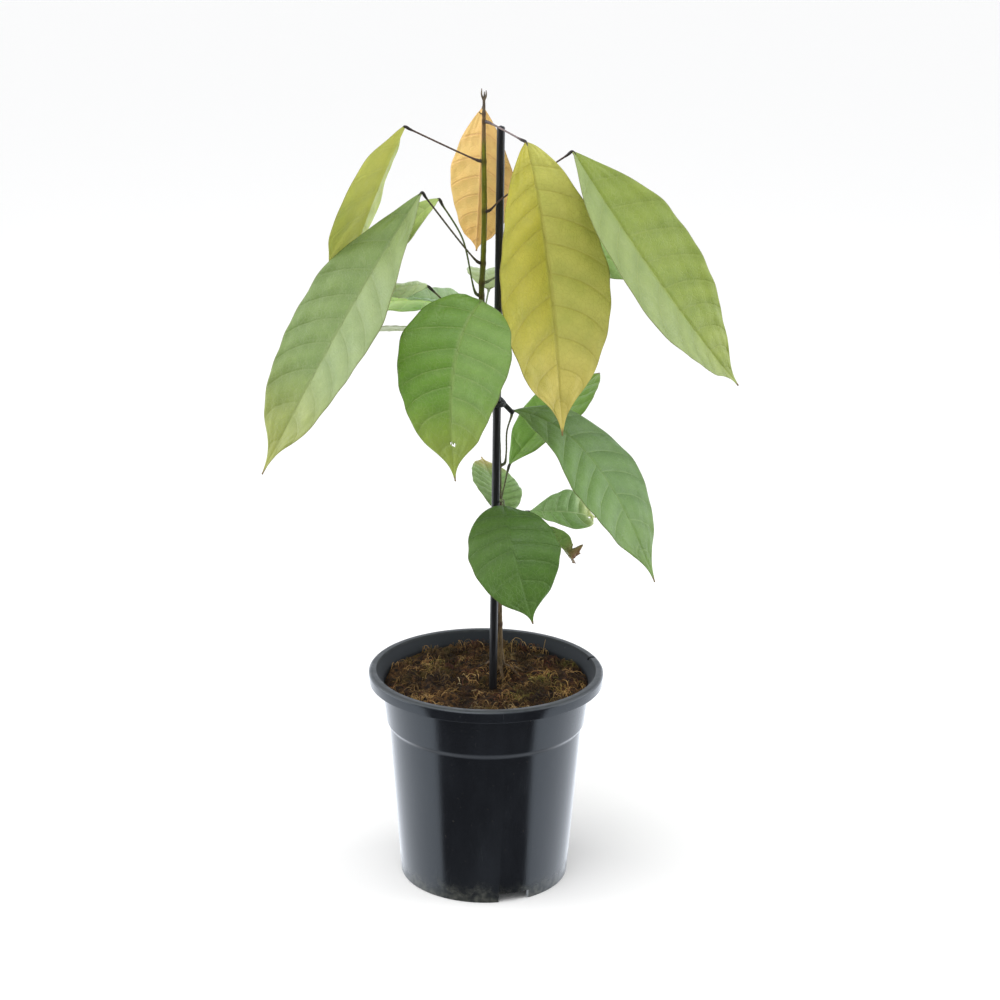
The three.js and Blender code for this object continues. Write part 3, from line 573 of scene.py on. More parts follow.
def tube(path, radii, sides, form=0, material=0):
    """A closed round tube along a path, its section carried along without twist."""
    path = np.asarray(path, float)
    count = len(path)
    radii = np.broadcast_to(radii, count)
    tangents = unit(np.gradient(path, axis=0))
    spoke = unit(np.cross(tangents[0], (1, 0, 0) if abs(tangents[0][0]) < 0.8 else (0, 1, 0)))
    turn = turns(sides)
    rings = []
    for i in range(count):
        spoke = unit(spoke - tangents[i] * spoke.dot(tangents[i]))
        other = np.cross(tangents[i], spoke)
        section = np.outer(np.cos(turn) * radii[i], spoke) + np.outer(np.sin(turn) * radii[i], other)
        rings.append(path[i] + section)
    ends = [path[0] - tangents[0] * radii[0] * 0.4, path[-1] + tangents[-1] * radii[-1] * 0.4]
    form = np.broadcast_to(form, (count, 4))
    form = np.vstack([form[[0, -1]], np.repeat(form, sides, axis=0)])
    return Shape(np.vstack([ends, *rings]), closed_faces(count, sides), form, material=material)


def ring(radius, height, turn):
    return stacked(radius * np.cos(turn), radius * np.sin(turn), height)


def lathe(profile, segments):
    """A solid turned from a (radius, height) profile whose two ends lie on the axis."""
    rings = [ring(radius, height, turns(segments)) for radius, height in profile[1:-1]]
    ends = [(0, 0, profile[0][1]), (0, 0, profile[-1][1])]
    return Shape(np.vstack([ends, *rings]), closed_faces(len(rings), segments))


def bezier(t, start, bend, end):
    return (1 - t) ** 2 * start + 2 * t * (1 - t) * bend + t * t * end


def rounded(profile, radius, steps=4):
    """The profile with each inner corner rounded off by an arc of about that radius."""
    corners = np.array(profile, float)
    smooth = [corners[0]]
    for before, here, after in zip(corners, corners[1:], corners[2:]):
        sides = before - here, after - here
        reach = min(radius, *[0.45 * np.linalg.norm(side) for side in sides])
        start, end = [here + unit(side) * reach for side in sides]
        smooth += [bezier(t, start, here, end) for t in np.linspace(0, 1, steps + 1)]
    return [*smooth, corners[-1]]


# ------ pot

CORNER_RADIUS = 0.9
POT_SEGMENTS = 180
NOTCH_LENGTH = 14
LABEL_SLOT_LENGTH = 10
HOLE_SIDES = 24
# Edges that turn by more than this many degrees stay sharp.
POT_SHARP = 32
SQUARE = ((-1, -1), (1, -1), (1, 1), (-1, 1))


def wall_radius(height):
    return FOOT_RADIUS + (BODY_TOP_RADIUS - FOOT_RADIUS) * height / (COLLAR_FOOT_HEIGHT - STEP_HEIGHT)


def pot_profile():
    floor_top = CHANNEL_HEIGHT + FLOOR_THICKNESS
    rim_foot = POT_HEIGHT - RIM_DEPTH
    step_foot = COLLAR_FOOT_HEIGHT - STEP_HEIGHT
    ring_inner = FOOT_RADIUS - FOOT_RING_WIDTH
    lip = RIM_RADIUS - WALL
    return [
        (0, 0), (PAD_RADIUS, 0), (PAD_RADIUS + 1, CHANNEL_HEIGHT), (ring_inner, CHANNEL_HEIGHT),
        (ring_inner, 0), (wall_radius(0), 0), (BODY_TOP_RADIUS, step_foot),
        (COLLAR_FOOT_RADIUS, COLLAR_FOOT_HEIGHT), (COLLAR_TOP_RADIUS, rim_foot),
        (COLLAR_TOP_RADIUS + 4, POT_HEIGHT - WALL), (lip, POT_HEIGHT - WALL), (lip, rim_foot),
        (RIM_RADIUS - 0.4, rim_foot), (RIM_RADIUS, POT_HEIGHT - 1.6), (RIM_RADIUS - 1.6, POT_HEIGHT),
        (RIM_RADIUS - RIM_WIDTH, POT_HEIGHT), (COLLAR_TOP_RADIUS - WALL, rim_foot),
        (COLLAR_FOOT_RADIUS - WALL, COLLAR_FOOT_HEIGHT), (BODY_TOP_RADIUS - WALL, step_foot),
        (wall_radius(floor_top) - WALL, floor_top), (PAD_RADIUS - 1, floor_top),
        (PAD_RADIUS - 2, FLOOR_THICKNESS), (0, FLOOR_THICKNESS),
    ]


def box_cutter(centre_radius, length, width, low, high, turn):
    """A box at that distance from the axis, its length pointing away from it."""
    out = np.array([cos(turn), sin(turn), 0])
    side = np.array([-out[1], out[0], 0])
    corners = [
        out * (centre_radius + x * length / 2) + side * (y * width / 2) + (0, 0, z)
        for z in (low, high) for x, y in SQUARE
    ]
    faces = [(3, 2, 1, 0), (4, 5, 6, 7), (0, 1, 5, 4), (1, 2, 6, 5), (2, 3, 7, 6), (3, 0, 4, 7)]
    return Shape(corners, faces)


def cut(body, shapes):
    """Takes the shapes out of the body."""
    tool = make_object("cutter", shapes)
    step = body.modifiers.new("cut", "BOOLEAN")
    step.operation = "DIFFERENCE"
    step.solver = "EXACT"
    step.object = tool
    made = bpy.data.meshes.new_from_object(body.evaluated_get(bpy.context.evaluated_depsgraph_get()))
    body.modifiers.clear()
    old = body.data
    body.data = made
    bpy.data.meshes.remove(old)
    bpy.data.meshes.remove(tool.data)


def build_pot():
    body = lathe(rounded(pot_profile(), CORNER_RADIUS), POT_SEGMENTS)
    pot = make_piece("pot_fine", [body], [pot_material()], "pot")
    cutters = [
        box_cutter(FOOT_RADIUS, NOTCH_LENGTH, NOTCH_WIDTH, -NOTCH_HEIGHT, NOTCH_HEIGHT, turn)
        for turn in turns(NOTCHES) + radians(NOTCH_TURN)
    ]
    middle = (PAD_RADIUS + FOOT_RADIUS - FOOT_RING_WIDTH) / 2
    for turn in turns(DRAIN_HOLES) + radians(NOTCH_TURN):
        x, y = middle * cos(turn), middle * sin(turn)
        ends = [(x, y, CHANNEL_HEIGHT - 0.4), (x, y, CHANNEL_HEIGHT + FLOOR_THICKNESS + 2)]
        cutters.append(tube(ends, DRAIN_HOLE_RADIUS, HOLE_SIDES))
    middle, depth = RIM_RADIUS - RIM_WIDTH / 2 - WALL, (POT_HEIGHT - 2, POT_HEIGHT + 2)
    turn = radians(LABEL_SLOT_TURN)
    cutters.append(box_cutter(middle, LABEL_SLOT_LENGTH, LABEL_SLOT_WIDTH, *depth, turn))
    cut(pot, cutters)
    shade_smooth(pot.data, POT_SHARP)


# ------ soil

# Between the soil and the pot, in mm.
SOIL_GAP = 0.35
SOIL_RINGS, SOIL_SEGMENTS = 92, 300
NOISE_SIZE = 512


@functools.cache
def noise_table(seed):
    return np.random.default_rng(seed).uniform(-1, 1, (NOISE_SIZE, NOISE_SIZE))


def lattice_noise(x, y, cell, seed):
    """Smooth value noise, -1 to 1, on a square lattice of that cell size."""
    table = noise_table(seed)
    px, py = np.asarray(x) / cell + 200, np.asarray(y) / cell + 200
    ix, iy = np.floor(px).astype(int), np.floor(py).astype(int)
    fx, fy = smoothstep(px - ix, 0, 1), smoothstep(py - iy, 0, 1)
    ix, iy = ix % (NOISE_SIZE - 1), iy % (NOISE_SIZE - 1)
    low = table[ix, iy] * (1 - fx) + table[ix + 1, iy] * fx
    high = table[ix, iy + 1] * (1 - fx) + table[ix + 1, iy + 1] * fx
    return low * (1 - fy) + high * fy


# The soil's clods, from coarse to fine: (lattice cell, height, seed).
SOIL_GRAIN = [(9, 1.5, 1), (4, 1.5, 2), (1.9, 1.1, 3), (1, 0.5, 4)]


def soil_height(x, y):
    radius = np.hypot(x, y)
    turn = np.arctan2(y, x)
    crown = SOIL_CROWN_RISE * (1 - (radius / SOIL_EDGE_RADIUS) ** 2)
    lumps = np.sin(radius * 0.31 + 3 * turn) * np.cos(radius * 0.17 - 5 * turn)
    fine = np.sin(radius * 0.7 + 7 * turn) * np.sin(4 * turn + 1.3)
    height = SOIL_EDGE_HEIGHT + crown
    height += SOIL_LUMP * np.minimum(1, radius / 12) * (0.7 * lumps + 0.5 * fine)
    for cell, size, seed in SOIL_GRAIN:
        height += size * lattice_noise(x, y, cell, seed)
    for mound_x, mound_y, rise, spread in SOIL_MOUNDS:
        height += rise * bell(np.hypot(x - mound_x, y - mound_y), spread)
    return height - 1.2 * smoothstep(radius, SOIL_EDGE_RADIUS - 9, SOIL_EDGE_RADIUS)


def soil_shape():
    """The soil's uneven top, and below it the form of the pot's inside."""
    turn = turns(SOIL_SEGMENTS)
    radii = SOIL_EDGE_RADIUS * np.linspace(0, 1, SOIL_RINGS + 1)[1:, None] ** 0.85
    x, y = radii * np.cos(turn), radii * np.sin(turn)
    top = stacked(x, y, soil_height(x, y))
    floor_top = CHANNEL_HEIGHT + FLOOR_THICKNESS + SOIL_GAP
    bottom = FLOOR_THICKNESS + SOIL_GAP
    inside = WALL + SOIL_GAP
    below = (
        (COLLAR_FOOT_RADIUS - inside, COLLAR_FOOT_HEIGHT),
        (BODY_TOP_RADIUS - inside, COLLAR_FOOT_HEIGHT - STEP_HEIGHT),
        (wall_radius(floor_top) - inside, floor_top), (PAD_RADIUS - 1 - SOIL_GAP, floor_top),
        (PAD_RADIUS - 2 - SOIL_GAP, bottom),
    )
    sides = [ring(radius, height, turn) for radius, height in below]
    ends = [(0, 0, float(soil_height(0, 0))), (0, 0, bottom)]
    faces = closed_faces(SOIL_RINGS + len(below), SOIL_SEGMENTS)
    return Shape(np.vstack([ends, top, *sides]), faces)


PEAT = palette(
    (86, 60, 34), (132, 102, 60), (176, 142, 92), (105, 75, 44), (48, 31, 20), (154, 123, 74),
    (94, 54, 40), (128, 108, 58),
)
MOSS = palette((132, 122, 56), (108, 104, 44), (154, 138, 78), (90, 84, 38))
CHAFF = palette((196, 166, 116), (172, 142, 92), (214, 192, 146))
# Patches of moss and of pale chaff: (x, y, spread, how many, colours).
PATCHES = [
    (60, 30, 8, 70, MOSS), (40, -10, 11, 90, MOSS), (26, -38, 11, 60, MOSS),
    (-4, -60, 9, 36, CHAFF), (20, -58, 8, 24, CHAFF), (24, 22, 14, 20, CHAFF),
    (-30, 24, 18, 60, MOSS), (-20, -20, 24, 20, CHAFF),
]
TUFTS = 250
STRANDS_PER_TUFT = 11
FIBRE_STEPS = 6
FIBRE_SINK = 0.35
# Long curled strands, as points.
CURLS = [
    [(19, 53, 148), (19, 54, 156), (21.5, 55, 160), (26, 54, 159), (27, 53, 157)],
    [(30, 40, 148), (31, 40, 153), (34, 38, 152), (35, 37, 148)],
    [(-1, 52, 149), (-3, 53, 156), (-7, 54, 158)],
    [(42, 50, 147), (43, 51, 155), (44, 52, 160)],
]
CURL_STEPS = 24


def fibre(rng, x, y, length, rise, radius, colour):
    """One bent strand that leaves the soil, arcs over it and returns, lighter or darker by patches."""
    heading = rng.uniform(0, 2 * pi) + np.cumsum(rng.normal(0, 0.42, FIBRE_STEPS))
    px = x + np.concatenate([[0], np.cumsum(np.cos(heading[1:]) * length / FIBRE_STEPS)])
    py = y + np.concatenate([[0], np.cumsum(np.sin(heading[1:]) * length / FIBRE_STEPS)])
    reach = np.hypot(px, py)
    pull = np.minimum(1, (SOIL_EDGE_RADIUS - 1.2) / np.maximum(reach, 1e-6))
    px, py = px * pull, py * pull
    lift = rise * np.sin(np.linspace(0, pi, FIBRE_STEPS)) ** 0.8 - FIBRE_SINK
    ground = soil_height(px, py)
    shade = float(np.clip(1.12 + 1.2 * lattice_noise(x, y, 14, 9), 0.25, 2.5))
    colour = (*[shade * share for share in colour[:3]], 1.0)
    path = stacked(px, py, ground * 0.35 + 0.65 * np.mean(ground) + lift)
    return tube(path, radius * np.linspace(1, 0.55, FIBRE_STEPS), 3, colour, material=1)


def fibre_shapes():
    """Shaggy tufts of peat fibre, then the patches, then a few long curled strands."""
    rng = np.random.default_rng(17)
    shapes = []
    for _ in range(TUFTS):
        radius = SOIL_EDGE_RADIUS * sqrt(rng.uniform(0, 0.97))
        turn = rng.uniform(0, 2 * pi)
        main = rng.integers(len(PEAT))
        taller = 1 + 1.1 * smoothstep(radius * sin(turn), 15, 60)
        for _ in range(STRANDS_PER_TUFT):
            other = rng.integers(len(PEAT))
            x = radius * cos(turn) + rng.normal(0, 2.2)
            y = radius * sin(turn) + rng.normal(0, 2.2)
            shapes.append(fibre(
                rng, x, y, rng.uniform(3, 12), rng.uniform(0.4, 3.4) * taller, rng.uniform(0.11, 0.29),
                PEAT[main if rng.uniform() < 0.7 else other],
            ))
    for x, y, spread, count, colours in PATCHES:
        for _ in range(count):
            colour = colours[rng.integers(len(colours))]
            shapes.append(fibre(
                rng, x + rng.normal(0, spread / 2), y + rng.normal(0, spread / 2), rng.uniform(3, 10),
                rng.uniform(0.8, 3.2), rng.uniform(0.11, 0.28), colour,
            ))
    for points in CURLS:
        path = spline(points, CURL_STEPS)
        shapes.append(tube(path, np.linspace(0.34, 0.16, CURL_STEPS), 5, CHAFF[1], material=1))
    return shapes


# ------ stem, stake and tie

STEM_PATH = spline(STEM_POINTS, 520)
# Heights of the scars of fallen leaves.
OLD_SCARS = [190, 214, 236, 338, 372]
# How much slimmer the stem is at its top, and where it slims down.
TOP_SLIMMING = 0.36
SLIM_FROM_TO = (512, 564)
RING_SWELL = 0.3
RING_DARKNESS = 0.6
STEM_SIDES = 22
STAKE_SIDES = 40
PRONG_STEPS = 12
ROOT_STEPS = 26
LOOP_STEPS, LOOP_SIDES = 160, 16
TAIL_STEPS, TAIL_SIDES = 60, 20
# Roots that run off over the soil: points (x, y, height above the soil).
SURFACE_ROOTS = [
    [(9.6, 4.2, 4), (12.5, 3, 2), (16, 1, 1.2), (21, -3, 1), (26, -7, -1.5)],
    [(9.6, 4.4, 3.6), (13.6, 5.4, 1.8), (20, 7, 1), (29, 8, -1.5)],
    [(9.4, 4.4, 3), (6, 6.5, 1), (1, 9, 0.6), (-4, 12, -2)],
    [(9.6, 4, 3), (10.2, 0.5, 1.4), (11.6, -5, 1), (13, -11, -1.5)],
]


def stem_radius(height, along):
    taper = STEM_FOOT_RADIUS + (STEM_TOP_RADIUS - STEM_FOOT_RADIUS) * along
    flare = (CROWN_RADIUS - STEM_FOOT_RADIUS) * bell(height - CROWN_HEIGHT, CROWN_SPREAD)
    buried = 1 - 0.5 * smoothstep(CROWN_HEIGHT - height, 0, CROWN_HEIGHT - STEM_POINTS[0][2])
    return (taper + flare) * buried


def stem_centre(height):
    return np.array([np.interp(height, STEM_PATH[:, 2], STEM_PATH[:, k]) for k in range(3)])


def stem_shapes():
    """The stem with a ring at every leaf and scar, its bud, some stumps of stalks, and surface roots."""
    heights = STEM_PATH[:, 2]
    along = np.linspace(0, 1, len(STEM_PATH))
    radii = stem_radius(heights, along) * (1 - TOP_SLIMMING * smoothstep(heights, *SLIM_FROM_TO))
    scars = [values[0] for values in LEAVES.values()] + OLD_SCARS
    dark = np.zeros_like(radii)
    for scar in scars:
        radii += RING_SWELL * bell(heights - scar, 1.7)
        dark = np.maximum(dark, RING_DARKNESS * bell(heights - scar, 2.2))
    radii += 0.07 * np.sin(heights * 0.9) * np.sin(heights * 0.37)
    shapes = [tube(STEM_PATH, radii, STEM_SIDES, greys(dark))]
    top = STEM_PATH[-1]
    for x, y, rise in BUD_PRONGS:
        tip = top + (x, y, rise)
        bend = (top + tip) / 2 + (0.5 * x, 0.3 * y, -0.6)
        prong = spline([top - (0, 0, 1), bend, tip], PRONG_STEPS)
        shapes.append(tube(prong, np.linspace(0.9, 0.3, PRONG_STEPS), 8))
    for scar in scars[::3]:
        out = np.array([cos(scar), sin(scar), 0])
        foot = stem_centre(scar) + out * 1.4
        stump = [foot, foot + out * 1.2 + (0, 0, 0.5), foot + out * 1.9 + (0, 0, 1.6)]
        shapes.append(tube(stump, [0.5, 0.42, 0.18], 6))
    for places in SURFACE_ROOTS:
        path = spline([(x, y, float(soil_height(x, y)) + lift) for x, y, lift in places], ROOT_STEPS)
        shapes.append(tube(path, np.linspace(1.9, 0.5, ROOT_STEPS), 10, (0.35, 0.35, 0.35, 1)))
    return shapes


def stake_shape():
    """The stake, its top edge rounded in four steps."""
    axis = unit(STAKE_TOP - STAKE_FOOT)
    shoulder = np.linalg.norm(STAKE_TOP - STAKE_FOOT) - 1.2
    marks = np.concatenate([[0], np.linspace(1, shoulder, 60), shoulder + np.array([0.5, 0.85, 1.1, 1.2])])
    radii = STAKE_RADIUS - np.array([0] * 61 + [0.12, 0.4, 0.8, 1.25])
    return tube(STAKE_FOOT + axis * marks[:, None], radii, STAKE_SIDES)


def tie_shapes():
    """A ridged tube round stem and stake, and its cut tail."""
    share = (TIE_HEIGHT - STAKE_FOOT[2]) / (STAKE_TOP[2] - STAKE_FOOT[2])
    stake = STAKE_FOOT + (STAKE_TOP - STAKE_FOOT) * share
    stem = stem_centre(TIE_HEIGHT)
    stake_reach = STAKE_RADIUS + TIE_RADIUS + 0.4
    loop = []
    for middle, reach in ((stem, 3 + TIE_RADIUS), (stake, -stake_reach)):
        for a in np.arange(-2, 3) * pi / 4:
            loop.append((middle[0] + reach * sin(a), middle[1] + reach * cos(a), TIE_HEIGHT))
    loop_radii = TIE_RADIUS + 0.12 * np.sin(np.arange(LOOP_STEPS) * 1.4)
    knot = np.array([stake[0] + stake_reach, stake[1], TIE_HEIGHT])
    tail = knot + np.linspace(0, 1, TAIL_STEPS)[:, None] * (TIE_TAIL_END - knot)
    tail_radii = TIE_RADIUS + 0.16 * np.sin(np.arange(TAIL_STEPS) * 1.25)
    mouth = unit(tail[-1] - tail[-2])
    lip = [tail[-1] - mouth * 0.2, tail[-1] + mouth * 0.25]
    return [
        tube(spline(loop, LOOP_STEPS, closed=True), loop_radii, LOOP_SIDES),
        tube(tail, tail_radii, TAIL_SIDES), tube(lip, [1.75, 1.6], TAIL_SIDES),
    ]


# ------ leaves

TIP_NARROWING = 0.72
# A blade's grid, in mm.
ROW_LENGTH = 1.05
COLUMN_WIDTH = 2.3
# Half the blade's thickness, then (depth, width) of the groove over the midrib and of the ribs under it.
HALF_THICKNESS = 0.3
GROOVE = (0.5, 1.1)
MIDRIB = (0.95, 0.75)
SIDE_VEIN = (0.3, 0.6)
STALK_RADIUS = 0.62
STALK_STEPS, STALK_SIDES = 140, 14
# How dark a stalk is at least and at most, as its `form`.
STALK_DARKNESS = (0.06, 0.92)


def outline(t, widest, blunt, tip_share):
    """Half the width at t as a share of the most; `tip_share` is how much the drawn-out tip narrows."""
    swell = np.clip(np.sin(pi * np.clip(t, 0, 1) ** (log(0.5) / log(widest))), 0, None)
    narrowed = 1 - tip_share * smoothstep(t, 0.84, 0.985)
    return swell ** (blunt + (0.9 - blunt) * t) * narrowed


def midrib_at(leaf, t):
    """Point, tangent, normal and sideways direction at t."""
    t = np.asarray(t, float)[..., None]
    base, tip = np.array(leaf.base, float), np.array(leaf.tip, float)
    chord = unit(tip - base)
    faces = unit(leaf.faces)
    up = unit(faces - chord * faces.dot(chord))
    side = np.cross(chord, up)
    bend = base + (tip - base) * leaf.peak + up * 2 * leaf.arch + side * 2 * leaf.sweep
    point = bezier(t, base, bend, tip)
    tangent = unit(2 * (1 - t) * (bend - base) + 2 * t * (tip - bend))
    normal = unit(faces - tangent * (tangent @ faces)[..., None])
    return point, tangent, normal, np.cross(tangent, normal)


def blade_shape(number, leaf, relief):
    """A thin closed skin: t runs along the blade from 0 to 1, `across` over it from -1 to 1."""
    length = float(np.linalg.norm(np.subtract(leaf.tip, leaf.base)))
    rows = max(60, int(length / ROW_LENGTH))
    columns = 2 * max(10, int(leaf.width / COLUMN_WIDTH)) + 1
    t0 = np.linspace(0, 1, rows + 1)[:, None]
    across = np.linspace(-1, 1, columns)
    across = np.sign(across) * np.abs(across) ** 1.12
    out = np.abs(across)
    side = np.sign(across)
    t = t0 + (0.07 * out + 0.06 * out ** 2.6) * 4 * t0 * (1 - t0)
    uneven = 0.2 * side + 0.16 * np.sin(8.3 * t0 + number) * (1 + 0.6 * side)
    phase = t0 * leaf.veins + uneven * np.sin(pi * t0)
    fold, curl = radians(leaf.fold), radians(leaf.curl or 0.01)
    shape = outline(t, leaf.widest, leaf.blunt, 0 if number in ROUNDED else TIP_NARROWING)
    half = np.maximum(MARGIN_HALF_WIDTH, leaf.width / 2 * shape)
    crisp_width, crisp_start = CRISP_TIPS.get(number, (0, 1))
    crisp = smoothstep(t, crisp_start, crisp_start + 0.12) if crisp_width else np.zeros_like(t)
    scrap = crisp_width * (1 + 0.3 * np.sin(31 * t + 2 * side) + 0.2 * np.sin(57 * t))
    half = np.maximum(half, crisp * scrap)
    scallop = 0.009 * np.cos(2 * pi * phase) + 0.008 * np.sin(9.7 * pi * t + number + side)
    half *= 1 + scallop * out ** 3
    turned = fold + curl * out
    reach = half * (np.sin(turned) - sin(fold)) / curl
    lift = half * (cos(fold) - np.cos(turned)) / curl
    room = np.minimum(1, half / 12)
    quilt = 0.5 - 0.5 * np.cos(2 * pi * phase)
    lift += room * relief * quilt ** 0.7 * (4 * out * (1 - out)) ** 0.75
    lift += room * leaf.wave * out ** 2 * np.sin(5 * pi * t + 2.1 * side)
    lift += room * 0.35 * out * np.sin(23 * t + 4 * out + number) * np.cos(17 * out - 9 * t)
    lift -= room * GROOVE[0] * bell(out * half, GROOVE[1])
    lift += crisp * 1.1 * np.sin(26 * t + 5 * across) * np.cos(6 * across - 9 * t)
    point, _, normal, lateral = midrib_at(leaf, t)
    middle = point + lateral * (side * reach)[..., None] + normal * lift[..., None]
    faces_out = np.cross(np.gradient(middle, axis=0), np.gradient(middle, axis=1))
    faces_out = unit(faces_out) * np.sign(np.sum(faces_out * normal, -1, keepdims=True))
    thickness = HALF_THICKNESS - 0.12 * out ** 4
    ridge = MIDRIB[0] * bell(out * half, MIDRIB[1]) * (1 - 0.8 * t)
    from_vein = np.abs((phase + 0.5) % 1 - 0.5) * length / leaf.veins
    vein = SIDE_VEIN[0] * bell(from_vein, SIDE_VEIN[1]) * (1 - out)
    upper = middle + faces_out * thickness[..., None]
    lower = middle - faces_out * (thickness + ridge + vein)[..., None]
    keep = np.ones((rows, columns - 1), bool)
    for holed, at_t, at_across, size in HOLES:
        if holed == number:
            near = np.argmin(np.abs(t - at_t) + np.abs(across - at_across))
            centre = middle.reshape(-1, 3)[near]
            cell = (middle[:-1, :-1] + middle[1:, 1:]) / 2 - centre
            ragged = size * (1 + 0.3 * np.sin(5 * cell[..., 0]) + 0.25 * np.cos(4 * cell[..., 2]))
            keep &= np.linalg.norm(cell, axis=-1) > ragged
    index = np.arange((rows + 1) * columns).reshape(rows + 1, columns)
    under = index.size
    a, b, c, d = index[:-1, :-1], index[:-1, 1:], index[1:, 1:], index[1:, :-1]
    faces = np.stack([a, b, c, d], -1)[keep].tolist()
    faces += (np.stack([a, d, c, b], -1)[keep] + under).tolist()
    padded = np.pad(keep, 1)
    borders = (
        (padded[:-2, 1:-1], b, a), (padded[1:-1, 2:], c, b),
        (padded[2:, 1:-1], d, c), (padded[1:-1, :-2], a, d),
    )
    for neighbour, first, second in borders:
        one, two = first[keep & ~neighbour], second[keep & ~neighbour]
        faces += np.stack([one, two, two + under, one + under], -1).tolist()
    far_half = (across > 0) * np.clip(out * 12, 0, 1)
    forms = np.vstack([stacked(t, out, far_half, face) for face in (0, 1)])
    phases = np.vstack([stacked(across, phase)] * 2)
    flat = np.vstack([stacked(side * half * out, t * length)] * 2) / 1000
    return Shape(np.vstack([upper, lower]).reshape(-1, 3), faces, forms, phases, flat)


def petiole_shape(leaf, darkness):
    """From the stem to under the blade's base: slim, with a swollen joint at each end."""
    centre = stem_centre(leaf.node)
    height_share = (leaf.node - STEM_POINTS[0][2]) / (STEM_POINTS[-1][2] - STEM_POINTS[0][2])
    base = np.array(leaf.base, float)
    first = (leaf.via or [base])[0]
    outward = unit([first[0] - centre[0], first[1] - centre[1], 0])
    root = centre + outward * (stem_radius(leaf.node, height_share) - 0.3)
    collar = root + unit(outward + unit(first - root)) * 3
    before = (leaf.via or [collar])[-1]
    normal = midrib_at(leaf, 0)[2]
    knee = base - unit(base - before) * 5
    end = midrib_at(leaf, 0.045)[0] - normal
    path = spline([root, collar, *leaf.via, knee, base - normal * 0.5, end], STALK_STEPS)
    steps = travelled(path)
    joint = steps[-1] - np.linalg.norm(end - base) - 2
    near_swell = bell(steps, 5.5)
    radii = STALK_RADIUS + 0.48 * bell(steps - joint, 3.6) + 0.6 * near_swell + 0.03 * np.sin(steps * 2.3)
    radii *= 1 - 0.55 * smoothstep(steps, joint + 2, steps[-1])
    dark = STALK_DARKNESS[0] + darkness * (1.1 * bell(steps - joint, 4.2) + 0.7 * near_swell)
    return tube(path, radii, STALK_SIDES, greys(np.clip(dark, *STALK_DARKNESS)), material=1)


# A stalk's colour along the middle, and how dark its joints are.
PLAIN_STALK = ((100, 104, 66), 1)
STALKS = {
    1: ((88, 64, 50), 1), 2: ((82, 78, 56), 1), 3: ((92, 112, 46), 1),
    4: ((120, 96, 60), 0.4), 5: ((150, 134, 134), 0.9), 6: ((78, 56, 46), 1),
    7: ((124, 138, 92), 0.12), 8: ((112, 128, 64), 0.15),
    12: ((128, 144, 98), 0.12), 13: ((104, 112, 62), 0.7), 14: ((98, 106, 64), 0.12),
    16: ((104, 120, 60), 0.2),
}


def build_leaf(number):
    name = f"leaf_{number:02}"
    leaf, look = Leaf(*LEAVES[number]), Look(*LOOKS[number])
    stalk_colour, darkness = STALKS.get(number, PLAIN_STALK)
    blade = blade_material(name + "_blade", look, DEEPER_ABOVE.get(number))
    stalk = stalk_material(name + "_stalk", stalk_colour)
    shapes = [blade_shape(number, leaf, look.relief), petiole_shape(leaf, darkness)]
    make_piece(name + "_fine", shapes, [blade, stalk], name)


# ------ the object

build_pot()
make_piece("soil_fine", [soil_shape()] + fibre_shapes(), [soil_material(), fibre_material()], "soil")
make_piece("stem_fine", stem_shapes(), [bark_material()], "stem", sharp=60)
stake_plastic = plastic_material("stake_plastic", (0.008, 0.008, 0.009, 1), 0.28, (1, 1, 0.03))
make_piece("stake_fine", [stake_shape()], [stake_plastic], "stake", sharp=50)
tie_plastic = plastic_material("tie_tube", (0.010, 0.011, 0.011, 1), 0.34, (1, 1, 1))
make_piece("tie_fine", tie_shapes(), [tie_plastic], "tie", sharp=50)
for leaf_number in LEAVES:
    build_leaf(leaf_number)

# ------ floor, light and camera

FLOOR_REACH = 30000
WORLD_STRENGTH = 0.62
WALL_STRENGTH = 1.75
FRONT_STRENGTH = 0.1
UNDERNEATH_STRENGTH = 0.7


def make_floor():
    mat = Graph("floor_paint")
    mat.colour = (0.93, 0.93, 0.93, 1)
    corners = [(x * FLOOR_REACH, y * FLOOR_REACH, 0) for x, y in SQUARE]
    made = make_object("floor", [Shape(corners, [(0, 1, 2, 3)])], [mat.finish(roughness=0.9)])
    made.visible_glossy = False
    return made


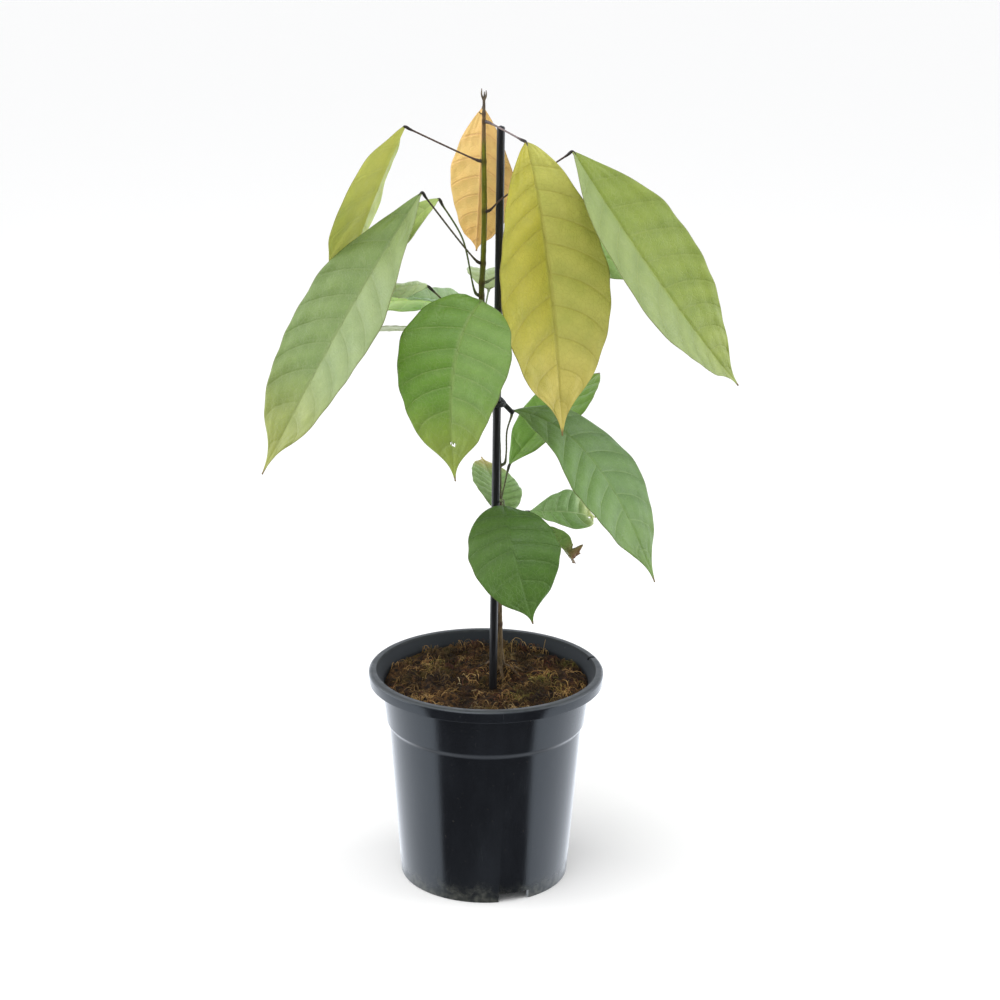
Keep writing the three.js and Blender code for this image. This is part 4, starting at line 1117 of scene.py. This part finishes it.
def studio_world():
    """An even white room; in reflections, its low walls are bright but for a dark gap in front (-Y)."""
    world = bpy.data.worlds.new("studio")
    sky = SkyGraph(world)
    where = sky.node("TexCoord", {}, "Generated")
    rise = sky.axis(where, "Z")
    level = sky.math("SQRT", sky.math("SUBTRACT", 1, sky.times(rise, rise)))
    ahead = sky.math("DIVIDE", sky.axis(where, "Y"), level)
    walls = sky.span(ahead, -0.52, -0.42, FRONT_STRENGTH, WALL_STRENGTH)
    mirrored = sky.blend(sky.span(rise, 0.1, 0.5), walls, WORLD_STRENGTH)
    mirrored = sky.blend(sky.span(rise, -0.85, -0.6, 1, 0), mirrored, UNDERNEATH_STRENGTH)
    glossy = sky.node("LightPath", {}, "Is Glossy Ray")
    extra = sky.math("SUBTRACT", mirrored, WORLD_STRENGTH)
    sky.feed(sky.shader.inputs["Strength"], sky.math("MULTIPLY_ADD", glossy, extra, WORLD_STRENGTH))
    colour = sky.mix(glossy, (1, 1, 1, 1), (0.93, 0.98, 1.06, 1))
    sky.feed(sky.shader.inputs["Color"], colour)
    return world


def add_light(name, kind, place, energy, **settings):
    """A light that points at the plant's middle."""
    data = bpy.data.lights.new(name, kind)
    data.energy = energy
    for key, value in settings.items():
        setattr(data, key, value)
    lamp = add_object(name, data)
    lamp.location = place
    lamp.rotation_euler = (Vector(place) - Vector(LIT_POINT)).to_track_quat("Z", "Y").to_euler()


floor = make_floor()
scene.world = studio_world()
scene.view_settings.view_transform = "Standard"

LIT_POINT = (0, 0, 0.3)
SIDE_LIGHT = {"shape": "RECTANGLE", "size": 1.4, "size_y": 1.8}
add_light("sky", "SUN", (-0.6, -1.2, 3.0), 1.5, angle=radians(50))
add_light("left", "AREA", (-1.5, 0.2, 0.9), 14, **SIDE_LIGHT)
add_light("right", "AREA", (1.5, 0.1, 0.9), 14, **SIDE_LIGHT)

CAMERA_PLACE = (0, -1.575, 0.769)
CAMERA_PITCH = 17.1
CAMERA_YAW = 0.31
CAMERA_ROLL = 0.73
FOCAL_PIXELS = 2327
PHOTO_PIXELS = 1000
SENSOR = 36

camera_data = bpy.data.cameras.new("camera")
camera_data.sensor_width = SENSOR
camera_data.lens = FOCAL_PIXELS / PHOTO_PIXELS * SENSOR
camera_pose = Matrix.Translation(CAMERA_PLACE)
for degrees, axis in ((-CAMERA_YAW, "Z"), (90 - CAMERA_PITCH, "X"), (CAMERA_ROLL, "Z")):
    camera_pose = camera_pose @ Matrix.Rotation(radians(degrees), 4, axis)
camera = add_object("camera", camera_data)
camera.matrix_world = camera_pose
scene.camera = camera
